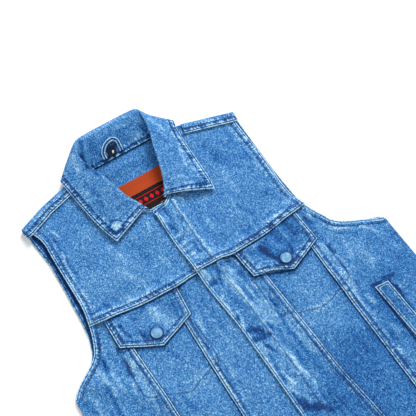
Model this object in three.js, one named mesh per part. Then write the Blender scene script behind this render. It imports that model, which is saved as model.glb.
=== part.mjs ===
// A denim vest laid flat on its back and closed down the front. Units are millimetres.
// X runs to the wearer's left, Y toward the collar, Z up from the surface it lies on.
import * as THREE from "three";

const CLOTH = 1.1;
const DOUBLE = 1.9;
const GAP = 0.32;
const HEM_Y = -385;
const AIR_BODY = 4.6;
const AIR_RAMP = 55;
const PIT_HALF = 266;
const LEAF_ROOM = 3.0;
const FOLD_IN = 8;
const WRAP_DEPTH = 19;
const PLACKET_EDGE = -14;
const PLACKET_INNER = 25;
const UNDER_EDGE = 22;
const LAP = 10;
const WELT_WIDTH = 21;
const SNAP_RADIUS = 8.4;
const SNAP_HEIGHT = 2.8;
const LOOP_WIDTH = 6;
const LOOP_THICK = 2;

const denim = (name, color) => new THREE.MeshStandardMaterial({ name, color, roughness: 0.95 });
const SLOT = {
  denim: denim("denim", 0x5f93cf),
  label_orange: denim("label_orange", 0xb8492a),
  label_black: denim("label_black", 0x26231f),
  tab_navy: denim("tab_navy", 0x10243c),
  snap_metal: new THREE.MeshStandardMaterial({
    name: "snap_metal",
    color: 0xa9c4e2,
    roughness: 0.5,
    metalness: 0.6,
  }),
};

const vest = new THREE.Group();
vest.name = "denim_vest";

const lerp = (a, b, t) => a + (b - a) * t;
const clamp = (v, a, b) => Math.min(b, Math.max(a, v));
const smooth = (a, b, v) => {
  const t = clamp((v - a) / (b - a), 0, 1);
  return t * t * (3 - 2 * t);
};

// Reads a column of a table whose first column rises.
function along(table, column, at) {
  if (at <= table[0][0]) return table[0][column];
  for (let i = 1; i < table.length; i++) {
    const [a, b] = [table[i - 1], table[i]];
    if (at <= b[0]) return lerp(a[column], b[column], (at - a[0]) / (b[0] - a[0]));
  }
  return table[table.length - 1][column];
}

// Outlines. Columns: y, left-of-photo x (wearer's right), right-of-photo x (wearer's left).
const BACK_EDGE = [
  [HEM_Y, -269, 279],
  [-200, -264, 278],
  [-29, -261, 276],
  [-3, -259, 274],
  [7, -248, 248],
  [20, -230, 222],
  [33, -212, 206],
  [45, -204, 200],
  [67, -197, 190],
  [95, -194, 184],
  [150, -190, 182],
  [200, -188, 183],
  [235, -192, 184],
  [262, -195, 186],
];
const FRONT_EDGE = [
  [HEM_Y, -269, 279],
  [-200, -264, 278],
  [-29, -261, 276],
  [-3, -258, 273],
  [7, -249, 247],
  [20, -229, 221],
  [33, -210, 205],
  [45, -201, 199],
  [67, -192, 189],
  [86, -187, 183],
  [112, -182, 177],
  [158, -181, 179],
  [199, -180, 180],
  [235, -178, 179],
  [255, -185, 179],
  [272, -192, 182],
];
// The fold over the shoulder and the neck seam at the back. Columns: x, y.
const TOP_EDGE = [
  [-196, 271],
  [-154, 288],
  [-104, 302],
  [-80, 304],
  [0, 304],
  [80, 304],
  [104, 301],
  [140, 290],
  [186, 276],
];
// The chest seam. Columns: distance from the middle, y.
const CHEST_SEAM = [
  [0, 67],
  [30, 66],
  [50, 62.5],
  [80, 64],
  [112, 66.5],
  [142, 71],
  [166, 73],
  [186, 78],
];
// The two V seams. Columns: y, inner distance from the middle, outer distance.
const V_SEAMS = [
  [HEM_Y, 98, 148],
  [-256, 87, 149],
  [-160, 77, 150],
  [-70, 74, 150],
  [15, 70, 152],
  [90, 67, 155],
];
// Broad folds of the fronts. Columns: x0, y0, x1, y1, half width, height.
const FOLDS = [
  [-235, 5, -150, -70, 26, 3.0],
  [245, -2, 165, -60, 26, 3.0],
  [-120, 110, -40, 170, 34, 2.4],
  [60, 100, 150, 200, 36, 2.6],
  [-215, -60, -190, -330, 30, 2.8],
  [225, -70, 200, -330, 30, 2.8],
  [-110, -110, -105, -330, 30, 2.2],
  [112, -120, 108, -340, 30, 2.2],
  [-50, -60, -42, -300, 24, 1.6],
  [55, -100, 52, -320, 24, 1.6],
];
const chestY = (x) => along(CHEST_SEAM, 1, Math.abs(x));
const topY = (x) => along(TOP_EDGE, 1, x);
const edgeX = (table, side, y) => along(table, side < 0 ? 1 : 2, y);

// How high the cloth of the fronts stands over the back: low at the side seams, full inside.
function air(x, y) {
  let h = AIR_BODY * smooth(0, AIR_RAMP, PIT_HALF + 6 - Math.abs(x - 6));
  for (const [x0, y0, x1, y1, half, height] of FOLDS) {
    const [dx, dy] = [x1 - x0, y1 - y0];
    const t = clamp(((x - x0) * dx + (y - y0) * dy) / (dx * dx + dy * dy), 0, 1);
    const d = Math.hypot(x - x0 - dx * t, y - y0 - dy * t);
    h += height * (1 - smooth(0, half, d)) * smooth(-6, AIR_RAMP, PIT_HALF - Math.abs(x - 6));
  }
  return CLOTH + GAP + h;
}

// The heights of all that is laid so far, in square cells, so that each piece rests on the last.
const CELL = 4;
const BED = { x0: -300, y0: -400, nx: 150, ny: 200 };
const bed = new Float64Array(BED.nx * BED.ny);
const cellOf = (x, y) => [(x - BED.x0) / CELL, (y - BED.y0) / CELL];

function layTriangle(a, b, c) {
  const [p, q, r] = [cellOf(a.x, a.y), cellOf(b.x, b.y), cellOf(c.x, c.y)];
  const area = (q[0] - p[0]) * (r[1] - p[1]) - (r[0] - p[0]) * (q[1] - p[1]);
  if (Math.abs(area) < 1e-9) return;
  const [i0, i1] = [Math.min(p[0], q[0], r[0]) - 1, Math.max(p[0], q[0], r[0]) + 1];
  const [j0, j1] = [Math.min(p[1], q[1], r[1]) - 1, Math.max(p[1], q[1], r[1]) + 1];
  const top = Math.max(a.z, b.z, c.z);
  for (let j = Math.max(0, Math.floor(j0)); j <= Math.min(BED.ny - 1, j1); j++)
    for (let i = Math.max(0, Math.floor(i0)); i <= Math.min(BED.nx - 1, i1); i++) {
      const u = ((q[0] - i) * (r[1] - j) - (r[0] - i) * (q[1] - j)) / area;
      const v = ((r[0] - i) * (p[1] - j) - (p[0] - i) * (r[1] - j)) / area;
      const w = 1 - u - v;
      const slack = -0.75 / Math.sqrt(Math.abs(area));
      if (Math.min(u, v, w) < slack) continue;
      const z = Math.min(top, u * a.z + v * b.z + w * c.z);
      bed[j * BED.nx + i] = Math.max(bed[j * BED.nx + i], z);
    }
}

function layCell(grid, j, i) {
  layTriangle(grid[j][i], grid[j][i + 1], grid[j + 1][i + 1]);
  layTriangle(grid[j][i], grid[j + 1][i + 1], grid[j + 1][i]);
}

// The lowest underside at a point that clears the bed within a reach, falling away past it.
function rest(x, y, reachX, reachY) {
  const [ci, cj] = cellOf(x, y);
  const span = 16;
  const fall = 0.3;
  let best = 0;
  const [ni, nj] = [(reachX + span) / CELL, (reachY + span) / CELL];
  for (let j = Math.max(0, Math.ceil(cj - nj)); j <= Math.min(BED.ny - 1, cj + nj); j++)
    for (let i = Math.max(0, Math.ceil(ci - ni)); i <= Math.min(BED.nx - 1, ci + ni); i++) {
      const past = Math.max(
        Math.abs(i - ci) * CELL - reachX,
        Math.abs(j - cj) * CELL - reachY,
        0,
      );
      best = Math.max(best, bed[j * BED.nx + i] + GAP - past * fall);
    }
  return best;
}

// Closes a grid of outer and inner points into a wall. Cells that are off are left open.
function closeGrid(name, slot, outer, inner, on = () => true, lay = true) {
  const [nj, ni] = [outer.length, outer[0].length];
  const position = [];
  const index = [];
  const flat = [...outer.flat(), ...inner.flat()];
  for (const p of flat) position.push(p.x, p.y, p.z);
  const at = (j, i, under) => j * ni + i + (under ? nj * ni : 0);
  const live = (j, i) => j >= 0 && i >= 0 && j < nj - 1 && i < ni - 1 && on(j, i);
  const quad = (a, b, c, d) => index.push(a, b, c, a, c, d);
  for (let j = 0; j < nj - 1; j++)
    for (let i = 0; i < ni - 1; i++) {
      if (!live(j, i)) continue;
      quad(at(j, i), at(j, i + 1), at(j + 1, i + 1), at(j + 1, i));
      quad(at(j, i, 1), at(j + 1, i, 1), at(j + 1, i + 1, 1), at(j, i + 1, 1));
      if (!live(j - 1, i)) quad(at(j, i), at(j, i, 1), at(j, i + 1, 1), at(j, i + 1));
      if (!live(j + 1, i))
        quad(at(j + 1, i + 1), at(j + 1, i + 1, 1), at(j + 1, i, 1), at(j + 1, i));
      if (!live(j, i - 1)) quad(at(j + 1, i), at(j + 1, i, 1), at(j, i, 1), at(j, i));
      if (!live(j, i + 1))
        quad(at(j, i + 1), at(j, i + 1, 1), at(j + 1, i + 1, 1), at(j + 1, i + 1));
      if (!lay) continue;
      layCell(outer, j, i);
    }
  const geometry = new THREE.BufferGeometry();
  geometry.setAttribute("position", new THREE.Float32BufferAttribute(position, 3));
  geometry.setIndex(index);
  geometry.computeVertexNormals();
  const mesh = new THREE.Mesh(geometry, SLOT[slot].clone());
  mesh.name = name;
  vest.add(mesh);
  return mesh;
}

// A sheet on the bed. Rows run from the hem up, and each row from the smaller x to the larger.
function laySheet(name, slot, rows, options = {}) {
  const { thick = CLOTH, reachX = 12, reachY = 12, floor = air, lift = () => 0 } = options;
  const { enter = true } = options;
  const inner = rows.map((row) =>
    row.map(([x, y]) => {
      const z = Math.max(floor(x, y), rest(x, y, reachX, reachY)) + lift(x, y);
      return new THREE.Vector3(x, y, z);
    }),
  );
  const outer = inner.map((row) => row.map((p) => p.clone().setZ(p.z + thick)));
  return closeGrid(name, slot, outer, inner, () => true, enter);
}

// Rows between two edges. Each edge is a list of points, and cuts are the fractions across.
function between(low, high, cuts) {
  return low.map(([x0, y0], k) => {
    const [x1, y1] = high[k];
    return cuts.map((c) => [lerp(x0, x1, c), lerp(y0, y1, c)]);
  });
}
const evenCuts = (n) => Array.from({ length: n + 1 }, (_, i) => i / n);

// The back is a flat panel, lifted at the neck where the collar lies under it. Its cloth wraps
// over the shoulders to the forward seams, and those two stretches are nodes of their own.
const BACK_CUTS = [-1, -0.8, -0.66, -0.53, -0.35, -0.17, 0, 0.17, 0.35, 0.56, 0.7, 0.85, 1];
const NECK_CUTS = { first: 3, last: 9 };
const BACK_LEVELS = [HEM_Y, -290, -190, -90, -29, -3, 7, 20, 33, 45, 67, 95, 150, 200];
const NECK_LEVEL = 262;
const raise = (x, y) => LEAF_ROOM * (1 - smooth(108, 134, Math.abs(x))) * smooth(268, 288, y);
const backX = (c, y) => Math.abs(c) * edgeX(BACK_EDGE, c, y);
const foldX = (c) => backX(c, NECK_LEVEL);

function makeBack() {
  const top = BACK_LEVELS[BACK_LEVELS.length - 1];
  const columns = BACK_CUTS.map((c) => {
    const x = foldX(c);
    const end = topY(x);
    const low = BACK_LEVELS.map((y) => [backX(c, y), y]);
    const high = [lerp(top, end, 0.4), lerp(top, end, 0.72), end - FOLD_IN, end];
    return [...low, ...high.map((y) => [lerp(backX(c, top), x, (y - top) / (end - top)), y])];
  });
  const under = columns[0].map((_, j) =>
    columns.map((column) => {
      const [x, y] = column[j];
      return new THREE.Vector3(x, y, raise(x, y));
    }),
  );
  const over = under.map((row) => row.map((p) => p.clone().setZ(p.z + CLOTH)));
  const lastFlat = under.length - 2;
  const on = (j, i) => j < lastFlat || (i >= NECK_CUTS.first && i < NECK_CUTS.last);
  closeGrid("back", "denim", over, under, on);
}
makeBack();

// Label inside the back, seen through the neck.
const onBack = () => CLOTH + GAP;
laySheet("label_field", "label_black", between(
  [[-56, 158], [-56, 195], [-56, 231]],
  [[56, 158], [56, 195], [56, 231]],
  evenCuts(2),
), { thick: 1, floor: onBack, reachX: 4, reachY: 8, enter: false });
laySheet("label_band", "label_orange", between(
  [[-56, 231.4], [-56, 257]],
  [[56, 231.4], [56, 257]],
  evenCuts(2),
), { thick: 1, floor: onBack, reachX: 4, reachY: 8, enter: false });

const LEVELS_BELOW = [HEM_Y, -300, -230, -160, -95, -40, 5, 36];

function layPocketPanel(side, name) {
  const levels = [...LEVELS_BELOW, 78];
  const edge = (column, out) =>
    levels.map((y) => [side * (along(V_SEAMS, column, y) + out), y]);
  const [a, b] = [edge(1, -LAP), edge(2, LAP)];
  const rows = side > 0 ? between(a, b, evenCuts(5)) : between(b, a, evenCuts(5));
  laySheet(name, "denim", rows);
}

function layCentre(side, name, reach) {
  const levels = [...LEVELS_BELOW, 60];
  const seam = levels.map((y) => [side * along(V_SEAMS, 1, y), y]);
  const open = levels.map((y) => [side < 0 ? UNDER_EDGE : placketX(y), y]);
  const headX = along(V_SEAMS, 1, 76);
  seam.push([side * headX, chestY(headX) + LAP]);
  open.push([open[open.length - 1][0], chestY(UNDER_EDGE) + LAP]);
  const cuts = side > 0 ? [0, 0.22, 0.42, 0.64, 0.82, 1] : [0, 0.14, 0.3, 0.55, 0.8, 1];
  const rows = side > 0 ? between(open, seam, cuts) : between(seam, open, cuts);
  laySheet(name, "denim", rows, { reachX: reach, reachY: 18 });
}

function laySide(side, name) {
  // Columns: y on the edge of the garment, y on the V seam.
  const pairs = [
    [HEM_Y, HEM_Y],
    [-300, -300],
    [-230, -230],
    [-160, -160],
    [-95, -95],
    [-29, -36],
    [-3, -6],
    [7, 4],
    [20, 16],
    [33, 30],
    [45, 42],
    [67, 60],
    [87, 82],
  ];
  const out = pairs.map(([y]) => [edgeX(FRONT_EDGE, side, y), y]);
  const seam = pairs.map(([, y]) => [side * along(V_SEAMS, 2, y), y]);
  const cuts = side > 0 ? [0, 0.16, 0.4, 0.7, 1] : [0, 0.3, 0.6, 0.84, 1];
  const rows = side > 0 ? between(seam, out, cuts) : between(out, seam, cuts);
  laySheet(name, "denim", rows, { reachX: 14 });
}

// A flap's two top corners and its three lower ones, as x and y, from the smaller x up.
const FLAPS = {
  right: { curl: 1.6, top: [[-167, 83], [-50, 73]], low: [[-169, 27], [-114, -3], [-56, 17]] },
  left: { curl: 3, top: [[48, 74], [164, 81]], low: [[53, 17], [110, -5], [167, 18]] },
};

function layFlap(side, name) {
  const { curl, top, low } = FLAPS[side];
  const across = [0, 0.16, 0.33, 0.5, 0.67, 0.84, 1];
  const up = [0, 0.16, 0.4, 0.7, 0.86, 1];
  const rows = up.map((h) =>
    across.map((c) => {
      const half = c < 0.5 ? 0 : 1;
      const t = c * 2 - half;
      const [p, q] = [low[half], low[half + 1]];
      const bottom = [lerp(p[0], q[0], t), lerp(p[1], q[1], t)];
      const head = [lerp(top[0][0], top[1][0], c), lerp(top[0][1], top[1][1], c)];
      return [lerp(bottom[0], head[0], h), lerp(bottom[1], head[1], h)];
    }),
  );
  const tip = low[1];
  laySheet(name, "denim", rows, {
    thick: DOUBLE,
    reachX: 18,
    reachY: 14,
    lift: (x, y) => curl * (1 - smooth(8, 46, Math.hypot(x - tip[0], y - tip[1] - 6))),
  });
}

function placketX(y) {
  return PLACKET_EDGE + 6 * smooth(60, -60, y);
}

// The upper fronts. Columns: y on the armhole, then x and y on the opening or neckline.
const YOKE_INNER = {
  right: [
    [79, 22, 67],
    [92, 22, 79],
    [106, 22, 93],
    [128, 22, 118],
    [158, 22, 150],
    [184, 22, 178],
    [200, -2, 192],
    [215, -22, 199],
    [228, -40, 221],
    [240, -57, 245],
    [250, -74, 266],
    [257, -90, 282],
    [264, -100, 291],
  ],
  left: [
    [77, -14, 67],
    [90, -14, 79],
    [104, -14, 93],
    [128, -15, 118],
    [158, -15, 150],
    [182, -14, 176],
    [200, -14, 189],
    [214, 8, 192],
    [228, 30, 213],
    [240, 50, 240],
    [252, 68, 264],
    [260, 84, 281],
    [266, 95, 290],
  ],
};

function layYoke(side, name) {
  const table = YOKE_INNER[side];
  const sign = side === "left" ? 1 : -1;
  const out = table.map(([y]) => [edgeX(FRONT_EDGE, sign, y), y]);
  const inn = table.map(([, x, y]) => [x, y]);
  const cuts = sign > 0 ? [0, 0.1, 0.21, 0.32, 0.44, 0.58, 0.72, 0.86, 1]
    : [0, 0.12, 0.25, 0.38, 0.5, 0.62, 0.74, 0.87, 1];
  const rows = sign > 0 ? between(inn, out, cuts) : between(out, inn, cuts);
  rows.forEach((row, j) => {
    const fade = 1 - smooth(0, 5, j);
    const [a, b] = [rows[0][0], rows[0][row.length - 1]];
    row.forEach((p, i) => {
      const [x, y] = p;
      const t = (x - a[0]) / (b[0] - a[0]);
      const bow = chestY(x) - lerp(chestY(a[0]), chestY(b[0]), t);
      row[i] = [x, y + bow * fade];
    });
  });
  laySheet(name, "denim", rows, { reachX: 20, reachY: 12.5 });
}

function layWelt(side, name) {
  const x0 = side > 0 ? 192 : -192 - WELT_WIDTH;
  const rows = [-242, -205, -165, -125, -92].map((y, k) =>
    [0, 1].map((i) => [x0 + i * WELT_WIDTH - side * (k - 4) * 1.5, y - side * i * 3]),
  );
  laySheet(name, "denim", rows, { thick: DOUBLE, reachX: 16, reachY: 20 });
}

function laySnap(name, x, y) {
  const z = rest(x, y, 8, 8);
  const profile = [
    [0, 0],
    [SNAP_RADIUS - 0.8, 0],
    [SNAP_RADIUS, 0.7],
    [SNAP_RADIUS - 0.5, 1.7],
    [SNAP_RADIUS - 2.6, SNAP_HEIGHT - 0.3],
    [0, SNAP_HEIGHT],
  ].map(([r, h]) => new THREE.Vector2(r, h));
  const geometry = new THREE.LatheGeometry(profile, 20);
  geometry.rotateX(Math.PI / 2);
  const mesh = new THREE.Mesh(geometry, SLOT.snap_metal.clone());
  mesh.name = name;
  mesh.position.set(x, y, z);
  vest.add(mesh);
}

layPocketPanel(-1, "pocket_panel_right");
layCentre(-1, "centre_front_right", 16);
laySide(-1, "side_front_right");
layWelt(-1, "welt_right");
layFlap("right", "flap_right");
layYoke("right", "front_yoke_right");

const flyLevels = [HEM_Y + 3, -300, -230, -160, -95, -40, 5, 40, 62, 76, 90, 120, 160, 194.5];
laySheet("fly_facing", "denim", between(
  flyLevels.map((y) => [placketX(y) + 1.5, y]),
  flyLevels.map((y) => [PLACKET_INNER, y]),
  evenCuts(2),
), { reachX: 20, reachY: 16 });

layPocketPanel(1, "pocket_panel_left");
layCentre(1, "centre_front_left", 22);
laySide(1, "side_front_left");
layWelt(1, "welt_left");
layFlap("left", "flap_left");
layYoke("left", "front_yoke_left");

laySnap("flap_snap_right", -113, 18);
laySnap("flap_snap_left", 109, 16);

// The section of a wrap. Columns: distance in from the fold and height of the outside, then of
// the inside.
const WRAP_SECTION = [
  [FOLD_IN - GAP, 0, FOLD_IN - GAP, CLOTH],
  [1.6, 1.0, 2.7, 1.9],
  [0, 4.3, 1.1, 4.3],
  [1.6, 7.6, 2.7, 6.7],
  [6.5, 8.7, 6.5, 7.6],
  [13, 9.4, 13, 8.3],
  [WRAP_DEPTH, 9.9, WRAP_DEPTH, 8.8],
];
const WRAP_RESTS_FROM = 4;

function layWrap(side, name) {
  const { first, last } = NECK_CUTS;
  const cuts = side < 0 ? BACK_CUTS.slice(0, first + 1) : BACK_CUTS.slice(last);
  const inner = [];
  const outer = [];
  WRAP_SECTION.forEach(([outIn, outZ, inIn, inZ], k) => {
    outer.push([]);
    inner.push([]);
    cuts.forEach((c, i) => {
      const atNeck = side < 0 ? i === cuts.length - 1 : i === 0;
      const x = foldX(c) + (atNeck ? side * (GAP + 0.1) : 0);
      const end = topY(x);
      const lean = k < WRAP_RESTS_FROM ? 0 : (topY(x + 4) - topY(x - 4)) / 8;
      const base = raise(x, end);
      const out = new THREE.Vector3(x + outIn * lean, end - outIn, base + outZ);
      const inn = new THREE.Vector3(x + inIn * lean, end - inIn, base + inZ);
      if (k >= WRAP_RESTS_FROM) {
        inn.z = Math.max(inn.z, rest(inn.x, inn.y, 14, 8));
        out.z = inn.z + CLOTH;
      }
      outer[k].push(out);
      inner[k].push(inn);
    });
  });
  closeGrid(name, "denim", inner, outer, () => true, false);
  for (let k = WRAP_RESTS_FROM - 1; k < outer.length - 1; k++)
    for (let i = 0; i < cuts.length - 1; i++) layCell(outer, k, i);
}
layWrap(-1, "back_shoulder_right");
layWrap(1, "back_shoulder_left");

// The collar. Columns of a station: seam x y z, roll x y z, shoulder of the leaf x y z, edge x y z.
const COLLAR = [
  [-17, 192, 9.5, -23, 198, 13, -52, 187, 14, -86, 174, 12],
  [-27, 203, 9.5, -30, 213, 18, -62, 203, 16, -92, 193, 12],
  [-43, 224, 9.5, -39, 231, 22, -72, 223, 17, -97, 217, 12],
  [-60, 248, 9.5, -44, 252, 24, -78, 250, 18, -101, 246, 12],
  [-76, 270, 9.8, -51, 279, 24, -84, 277, 18, -104, 274, 12],
  [-88, 288, 10, -58, 299, 24, -90, 299, 17, -106, 294, 12.5],
  [-93, 300, 8.6, -63, 318, 24, -92, 317, 14, -105, 312, 7],
  [-88, 304, 6.4, -62, 336, 24, -82, 334, 9, -92, 312, 1.5],
  [-70, 303.5, 5.6, -52, 350, 22, -58, 350, 6, -62, 299, 1.2],
  [-35, 303.5, 5.5, -28, 352, 21, -28, 355, 5.5, -32, 297, 1.2],
  [2, 303.5, 5.5, 3, 352, 21, 3, 355, 5.5, 2, 297, 1.2],
  [37, 303.5, 5.5, 34, 352, 21, 34, 355, 5.5, 34, 297, 1.2],
  [68, 303.5, 5.6, 55, 350, 22, 60, 350, 6, 62, 299, 1.2],
  [85, 304, 6.4, 57, 336, 24, 73, 337, 9, 88, 312, 1.5],
  [90, 299, 8.6, 54, 318, 24, 82, 318, 14, 98, 312, 7],
  [85, 287, 10, 49, 298, 24, 80, 299, 17, 93, 293, 12.5],
  [71, 268, 9.8, 42, 277, 24, 72, 277, 18, 91, 268, 12],
  [54, 246, 9.5, 35, 252, 24, 66, 250, 18, 90, 243, 12],
  [36, 222, 9.5, 29, 231, 22, 60, 224, 17, 89, 217, 12],
  [20, 204, 12.4, 22, 211, 19, 56, 203, 16, 88, 193, 12],
  [12, 197, 13.6, 14, 201, 16, 46, 189, 16, 85, 171, 12],
];

// A Catmull-Rom point, which passes through b and c.
function curve(a, b, c, d, t) {
  const at = (k) => {
    const [p, q, r, s] = [a[k], b[k], c[k], d[k]];
    const m = 2 * q + (r - p) * t + (2 * p - 5 * q + 4 * r - s) * t * t;
    return 0.5 * (m + (3 * q - p - 3 * r + s) * t * t * t);
  };
  return a.map((_, k) => at(k));
}
function sampleChain(chain, steps) {
  const points = [];
  for (let i = 0; i < chain.length - 1; i++) {
    const before = chain[Math.max(0, i - 1)];
    const after = chain[Math.min(chain.length - 1, i + 2)];
    for (let k = 0; k < steps[i]; k++)
      points.push(curve(before, chain[i], chain[i + 1], after, k / steps[i]));
  }
  points.push(chain[chain.length - 1]);
  return points;
}

// On the fronts the leaf rests on the yokes: stations this near either end, past this point.
const ON_FRONTS = 11;
const LEAF_FROM = 4;

function makeCollar() {
  const stations = sampleChain(COLLAR, COLLAR.map(() => 2));
  const middle = stations.map((s, j) => {
    const keys = [s.slice(0, 3), s.slice(3, 6), s.slice(6, 9), s.slice(9, 12)];
    const line = sampleChain(keys, [4, 4, 3]).map((p) => new THREE.Vector3(...p));
    const nearEnd = Math.min(j, stations.length - 1 - j);
    if (nearEnd > ON_FRONTS) return line;
    return line.map((p, k) => {
      if (k > LEAF_FROM) p.z = Math.max(p.z, rest(p.x, p.y, 10, 10) + DOUBLE / 2);
      return p;
    });
  });
  const [nj, ni] = [middle.length, middle[0].length];
  const outer = [];
  const inner = [];
  for (let j = 0; j < nj; j++) {
    outer.push([]);
    inner.push([]);
    for (let i = 0; i < ni; i++) {
      const alongJ = new THREE.Vector3().subVectors(
        middle[Math.min(nj - 1, j + 1)][i],
        middle[Math.max(0, j - 1)][i],
      );
      const alongI = new THREE.Vector3().subVectors(
        middle[j][Math.min(ni - 1, i + 1)],
        middle[j][Math.max(0, i - 1)],
      );
      const n = alongI.cross(alongJ).normalize().multiplyScalar(DOUBLE / 2);
      outer[j].push(middle[j][i].clone().add(n));
      inner[j].push(middle[j][i].clone().sub(n));
    }
  }
  return closeGrid("collar", "denim", outer, inner, () => true, false);
}
makeCollar();

// The hanger loop and the size tab lie on the inner face of the collar at the back.
const BACK_STATION = COLLAR[10];
const STAND_LINE = sampleChain(
  [0, 3, 6, 9].map((k) => BACK_STATION.slice(k + 1, k + 3)),
  [4, 4, 3],
).slice(0, 5);
// The stand leans, so its wall is a little taller straight up than square to its face.
const STAND_LEAN = 1.08;
const onStand = (y) => along(STAND_LINE, 1, y) + (DOUBLE / 2) * STAND_LEAN + GAP;

const LOOP_PATH = [
  [-28, 308],
  [-25, 316],
  [-18, 323],
  [-8, 328],
  [2, 329],
  [8, 324],
  [7, 316],
  [5, 307],
];
function makeLoop() {
  const path = sampleChain(LOOP_PATH, LOOP_PATH.map(() => 2));
  const [outer, inner] = [[], []];
  path.forEach(([x, y], k) => {
    const a = path[Math.max(0, k - 1)];
    const b = path[Math.min(path.length - 1, k + 1)];
    const l = Math.hypot(b[0] - a[0], b[1] - a[1]);
    const [nx, ny] = [-(b[1] - a[1]) / l, (b[0] - a[0]) / l];
    const row = [1, -1].map((s) => {
      const py = y + (ny * s * LOOP_WIDTH) / 2;
      return new THREE.Vector3(x + (nx * s * LOOP_WIDTH) / 2, py, onStand(py));
    });
    inner.push(row);
    outer.push(row.map((p) => p.clone().setZ(p.z + LOOP_THICK)));
  });
  closeGrid("hanger_loop", "denim", outer, inner, () => true, false);
}
makeLoop();

function makeTab() {
  const rows = between([[-17, 306], [-12.5, 321.5]], [[-6.5, 306], [-1.5, 321.5]], evenCuts(1));
  const inner = rows.map((row) => row.map(([x, y]) => new THREE.Vector3(x, y, onStand(y))));
  const outer = inner.map((row) => row.map((p) => p.clone().setZ(p.z + 1)));
  closeGrid("size_tab", "tab_navy", outer, inner, () => true, false);
}
makeTab();

// The origin goes under the middle of the whole.
const box = new THREE.Box3().setFromObject(vest, true);
vest.position.set(-(box.min.x + box.max.x) / 2, -(box.min.y + box.max.y) / 2, -box.min.z);
vest.updateMatrixWorld(true);

export default vest;
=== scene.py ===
import bpy
import numpy as np
from mathutils import Matrix, Vector


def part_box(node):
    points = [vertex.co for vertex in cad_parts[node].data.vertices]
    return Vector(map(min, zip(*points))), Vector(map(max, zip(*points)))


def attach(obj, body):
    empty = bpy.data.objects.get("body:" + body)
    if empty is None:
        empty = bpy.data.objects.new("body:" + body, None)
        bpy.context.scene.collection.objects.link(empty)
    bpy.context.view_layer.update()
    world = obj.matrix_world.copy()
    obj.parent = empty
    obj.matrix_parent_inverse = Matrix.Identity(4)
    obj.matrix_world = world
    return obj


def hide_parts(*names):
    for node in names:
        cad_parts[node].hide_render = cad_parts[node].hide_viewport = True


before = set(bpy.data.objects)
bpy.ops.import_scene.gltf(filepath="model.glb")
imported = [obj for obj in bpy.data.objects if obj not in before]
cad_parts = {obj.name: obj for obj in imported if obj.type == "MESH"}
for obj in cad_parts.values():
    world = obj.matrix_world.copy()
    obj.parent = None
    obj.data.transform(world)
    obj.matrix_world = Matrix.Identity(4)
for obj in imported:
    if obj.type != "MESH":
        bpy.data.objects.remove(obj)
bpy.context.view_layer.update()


# A denim vest laid flat on its back and closed down the front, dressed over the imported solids.
# First the table under it, the soft light round it and the camera over it. Sizes are in
# millimetres until a mesh is made. The vest's own frame has x to the wearer's left, y toward
# the collar and its zero at the armhole pits, on the middle line of the fronts. The packed
# frame is the same, moved by TO_ROW.
MM = 0.001
HEM_Y = -385.0
BACK_LEFT_X = -269.0
back_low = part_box("back")[0]
TO_ROW = np.array([back_low[0] / MM - BACK_LEFT_X, back_low[1] / MM - HEM_Y, 0.0])
LOOK_AT = np.array([61.3, 153.9, 0.0])
CAMERA_DISTANCE = 1754.5
CAMERA_TURN = np.radians(-32.8)
CAMERA_TILT = np.radians(28.5)
CAMERA_LENS = 100


def set_inputs(node, values):
    """Links each socket among the values to the input of that name, and sets the others."""
    for key, value in values.items():
        if isinstance(value, bpy.types.NodeSocket):
            node.id_data.links.new(value, node.inputs[key])
        else:
            node.inputs[key].default_value = value


def add_node(tree, kind, inputs=None, **settings):
    """Adds a shader node, with its settings first and its inputs after."""
    made = tree.nodes.new(kind)
    for key, value in settings.items():
        setattr(made, key, value)
    set_inputs(made, inputs or {})
    return made


def new_material(name):
    """A material with an empty node tree, and its Principled shader wired to the output."""
    material = bpy.data.materials.new(name)
    material.use_nodes = True
    tree = material.node_tree
    tree.nodes.clear()
    shader = add_node(tree, "ShaderNodeBsdfPrincipled")
    add_node(tree, "ShaderNodeOutputMaterial", {"Surface": shader.outputs["BSDF"]})
    return material, tree, shader


def lay_table():
    """A pale matt square, 4 m wide, a hair under the vest."""
    half, level = 2000.0 * MM, -0.4 * MM
    corners = [(-half, -half, level), (half, -half, level), (half, half, level), (-half, half, level)]
    mesh = bpy.data.meshes.new("table")
    mesh.from_pydata(corners, [], [(0, 1, 2, 3)])
    table = bpy.data.objects.new("table", mesh)
    bpy.context.collection.objects.link(table)
    material, _, shader = new_material("pale table")
    set_inputs(shader, {"Base Color": (0.93, 0.93, 0.93, 1), "Roughness": 0.9})
    mesh.materials.append(material)


def set_light(name, place, size, watts):
    """A square soft light at a place in the vest's frame, turned to face that frame's zero."""
    data = bpy.data.lights.new(name, "AREA")
    data.size = size
    data.energy = watts
    lamp = bpy.data.objects.new(name, data)
    bpy.context.collection.objects.link(lamp)
    at = (np.array(place) + TO_ROW) * MM
    lamp.location = at
    lamp.rotation_euler = Vector(TO_ROW * MM - at).to_track_quat("-Z", "Y").to_euler()


lay_table()
set_light("window light", (1620, 2070, 1800), 1.3, 105)
set_light("fill light", (-1300, -300, 1500), 1.6, 8)
world = bpy.data.worlds.new("white room")
world.use_nodes = True
set_inputs(world.node_tree.nodes["Background"], {"Color": (1, 1, 1, 1), "Strength": 0.53})
bpy.context.scene.world = world
bpy.context.scene.view_settings.view_transform = "Standard"

camera_data = bpy.data.cameras.new("camera")
camera_data.lens = CAMERA_LENS
camera_data.clip_end = 20
camera = bpy.data.objects.new("camera", camera_data)
bpy.context.collection.objects.link(camera)
turn = Matrix.Rotation(CAMERA_TURN, 3, "Z") @ Matrix.Rotation(CAMERA_TILT, 3, "X")
camera.rotation_euler = turn.to_euler()
camera.location = (LOOK_AT + TO_ROW) * MM + np.array(turn @ Vector((0, 0, CAMERA_DISTANCE * MM)))
bpy.context.scene.camera = camera


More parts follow.
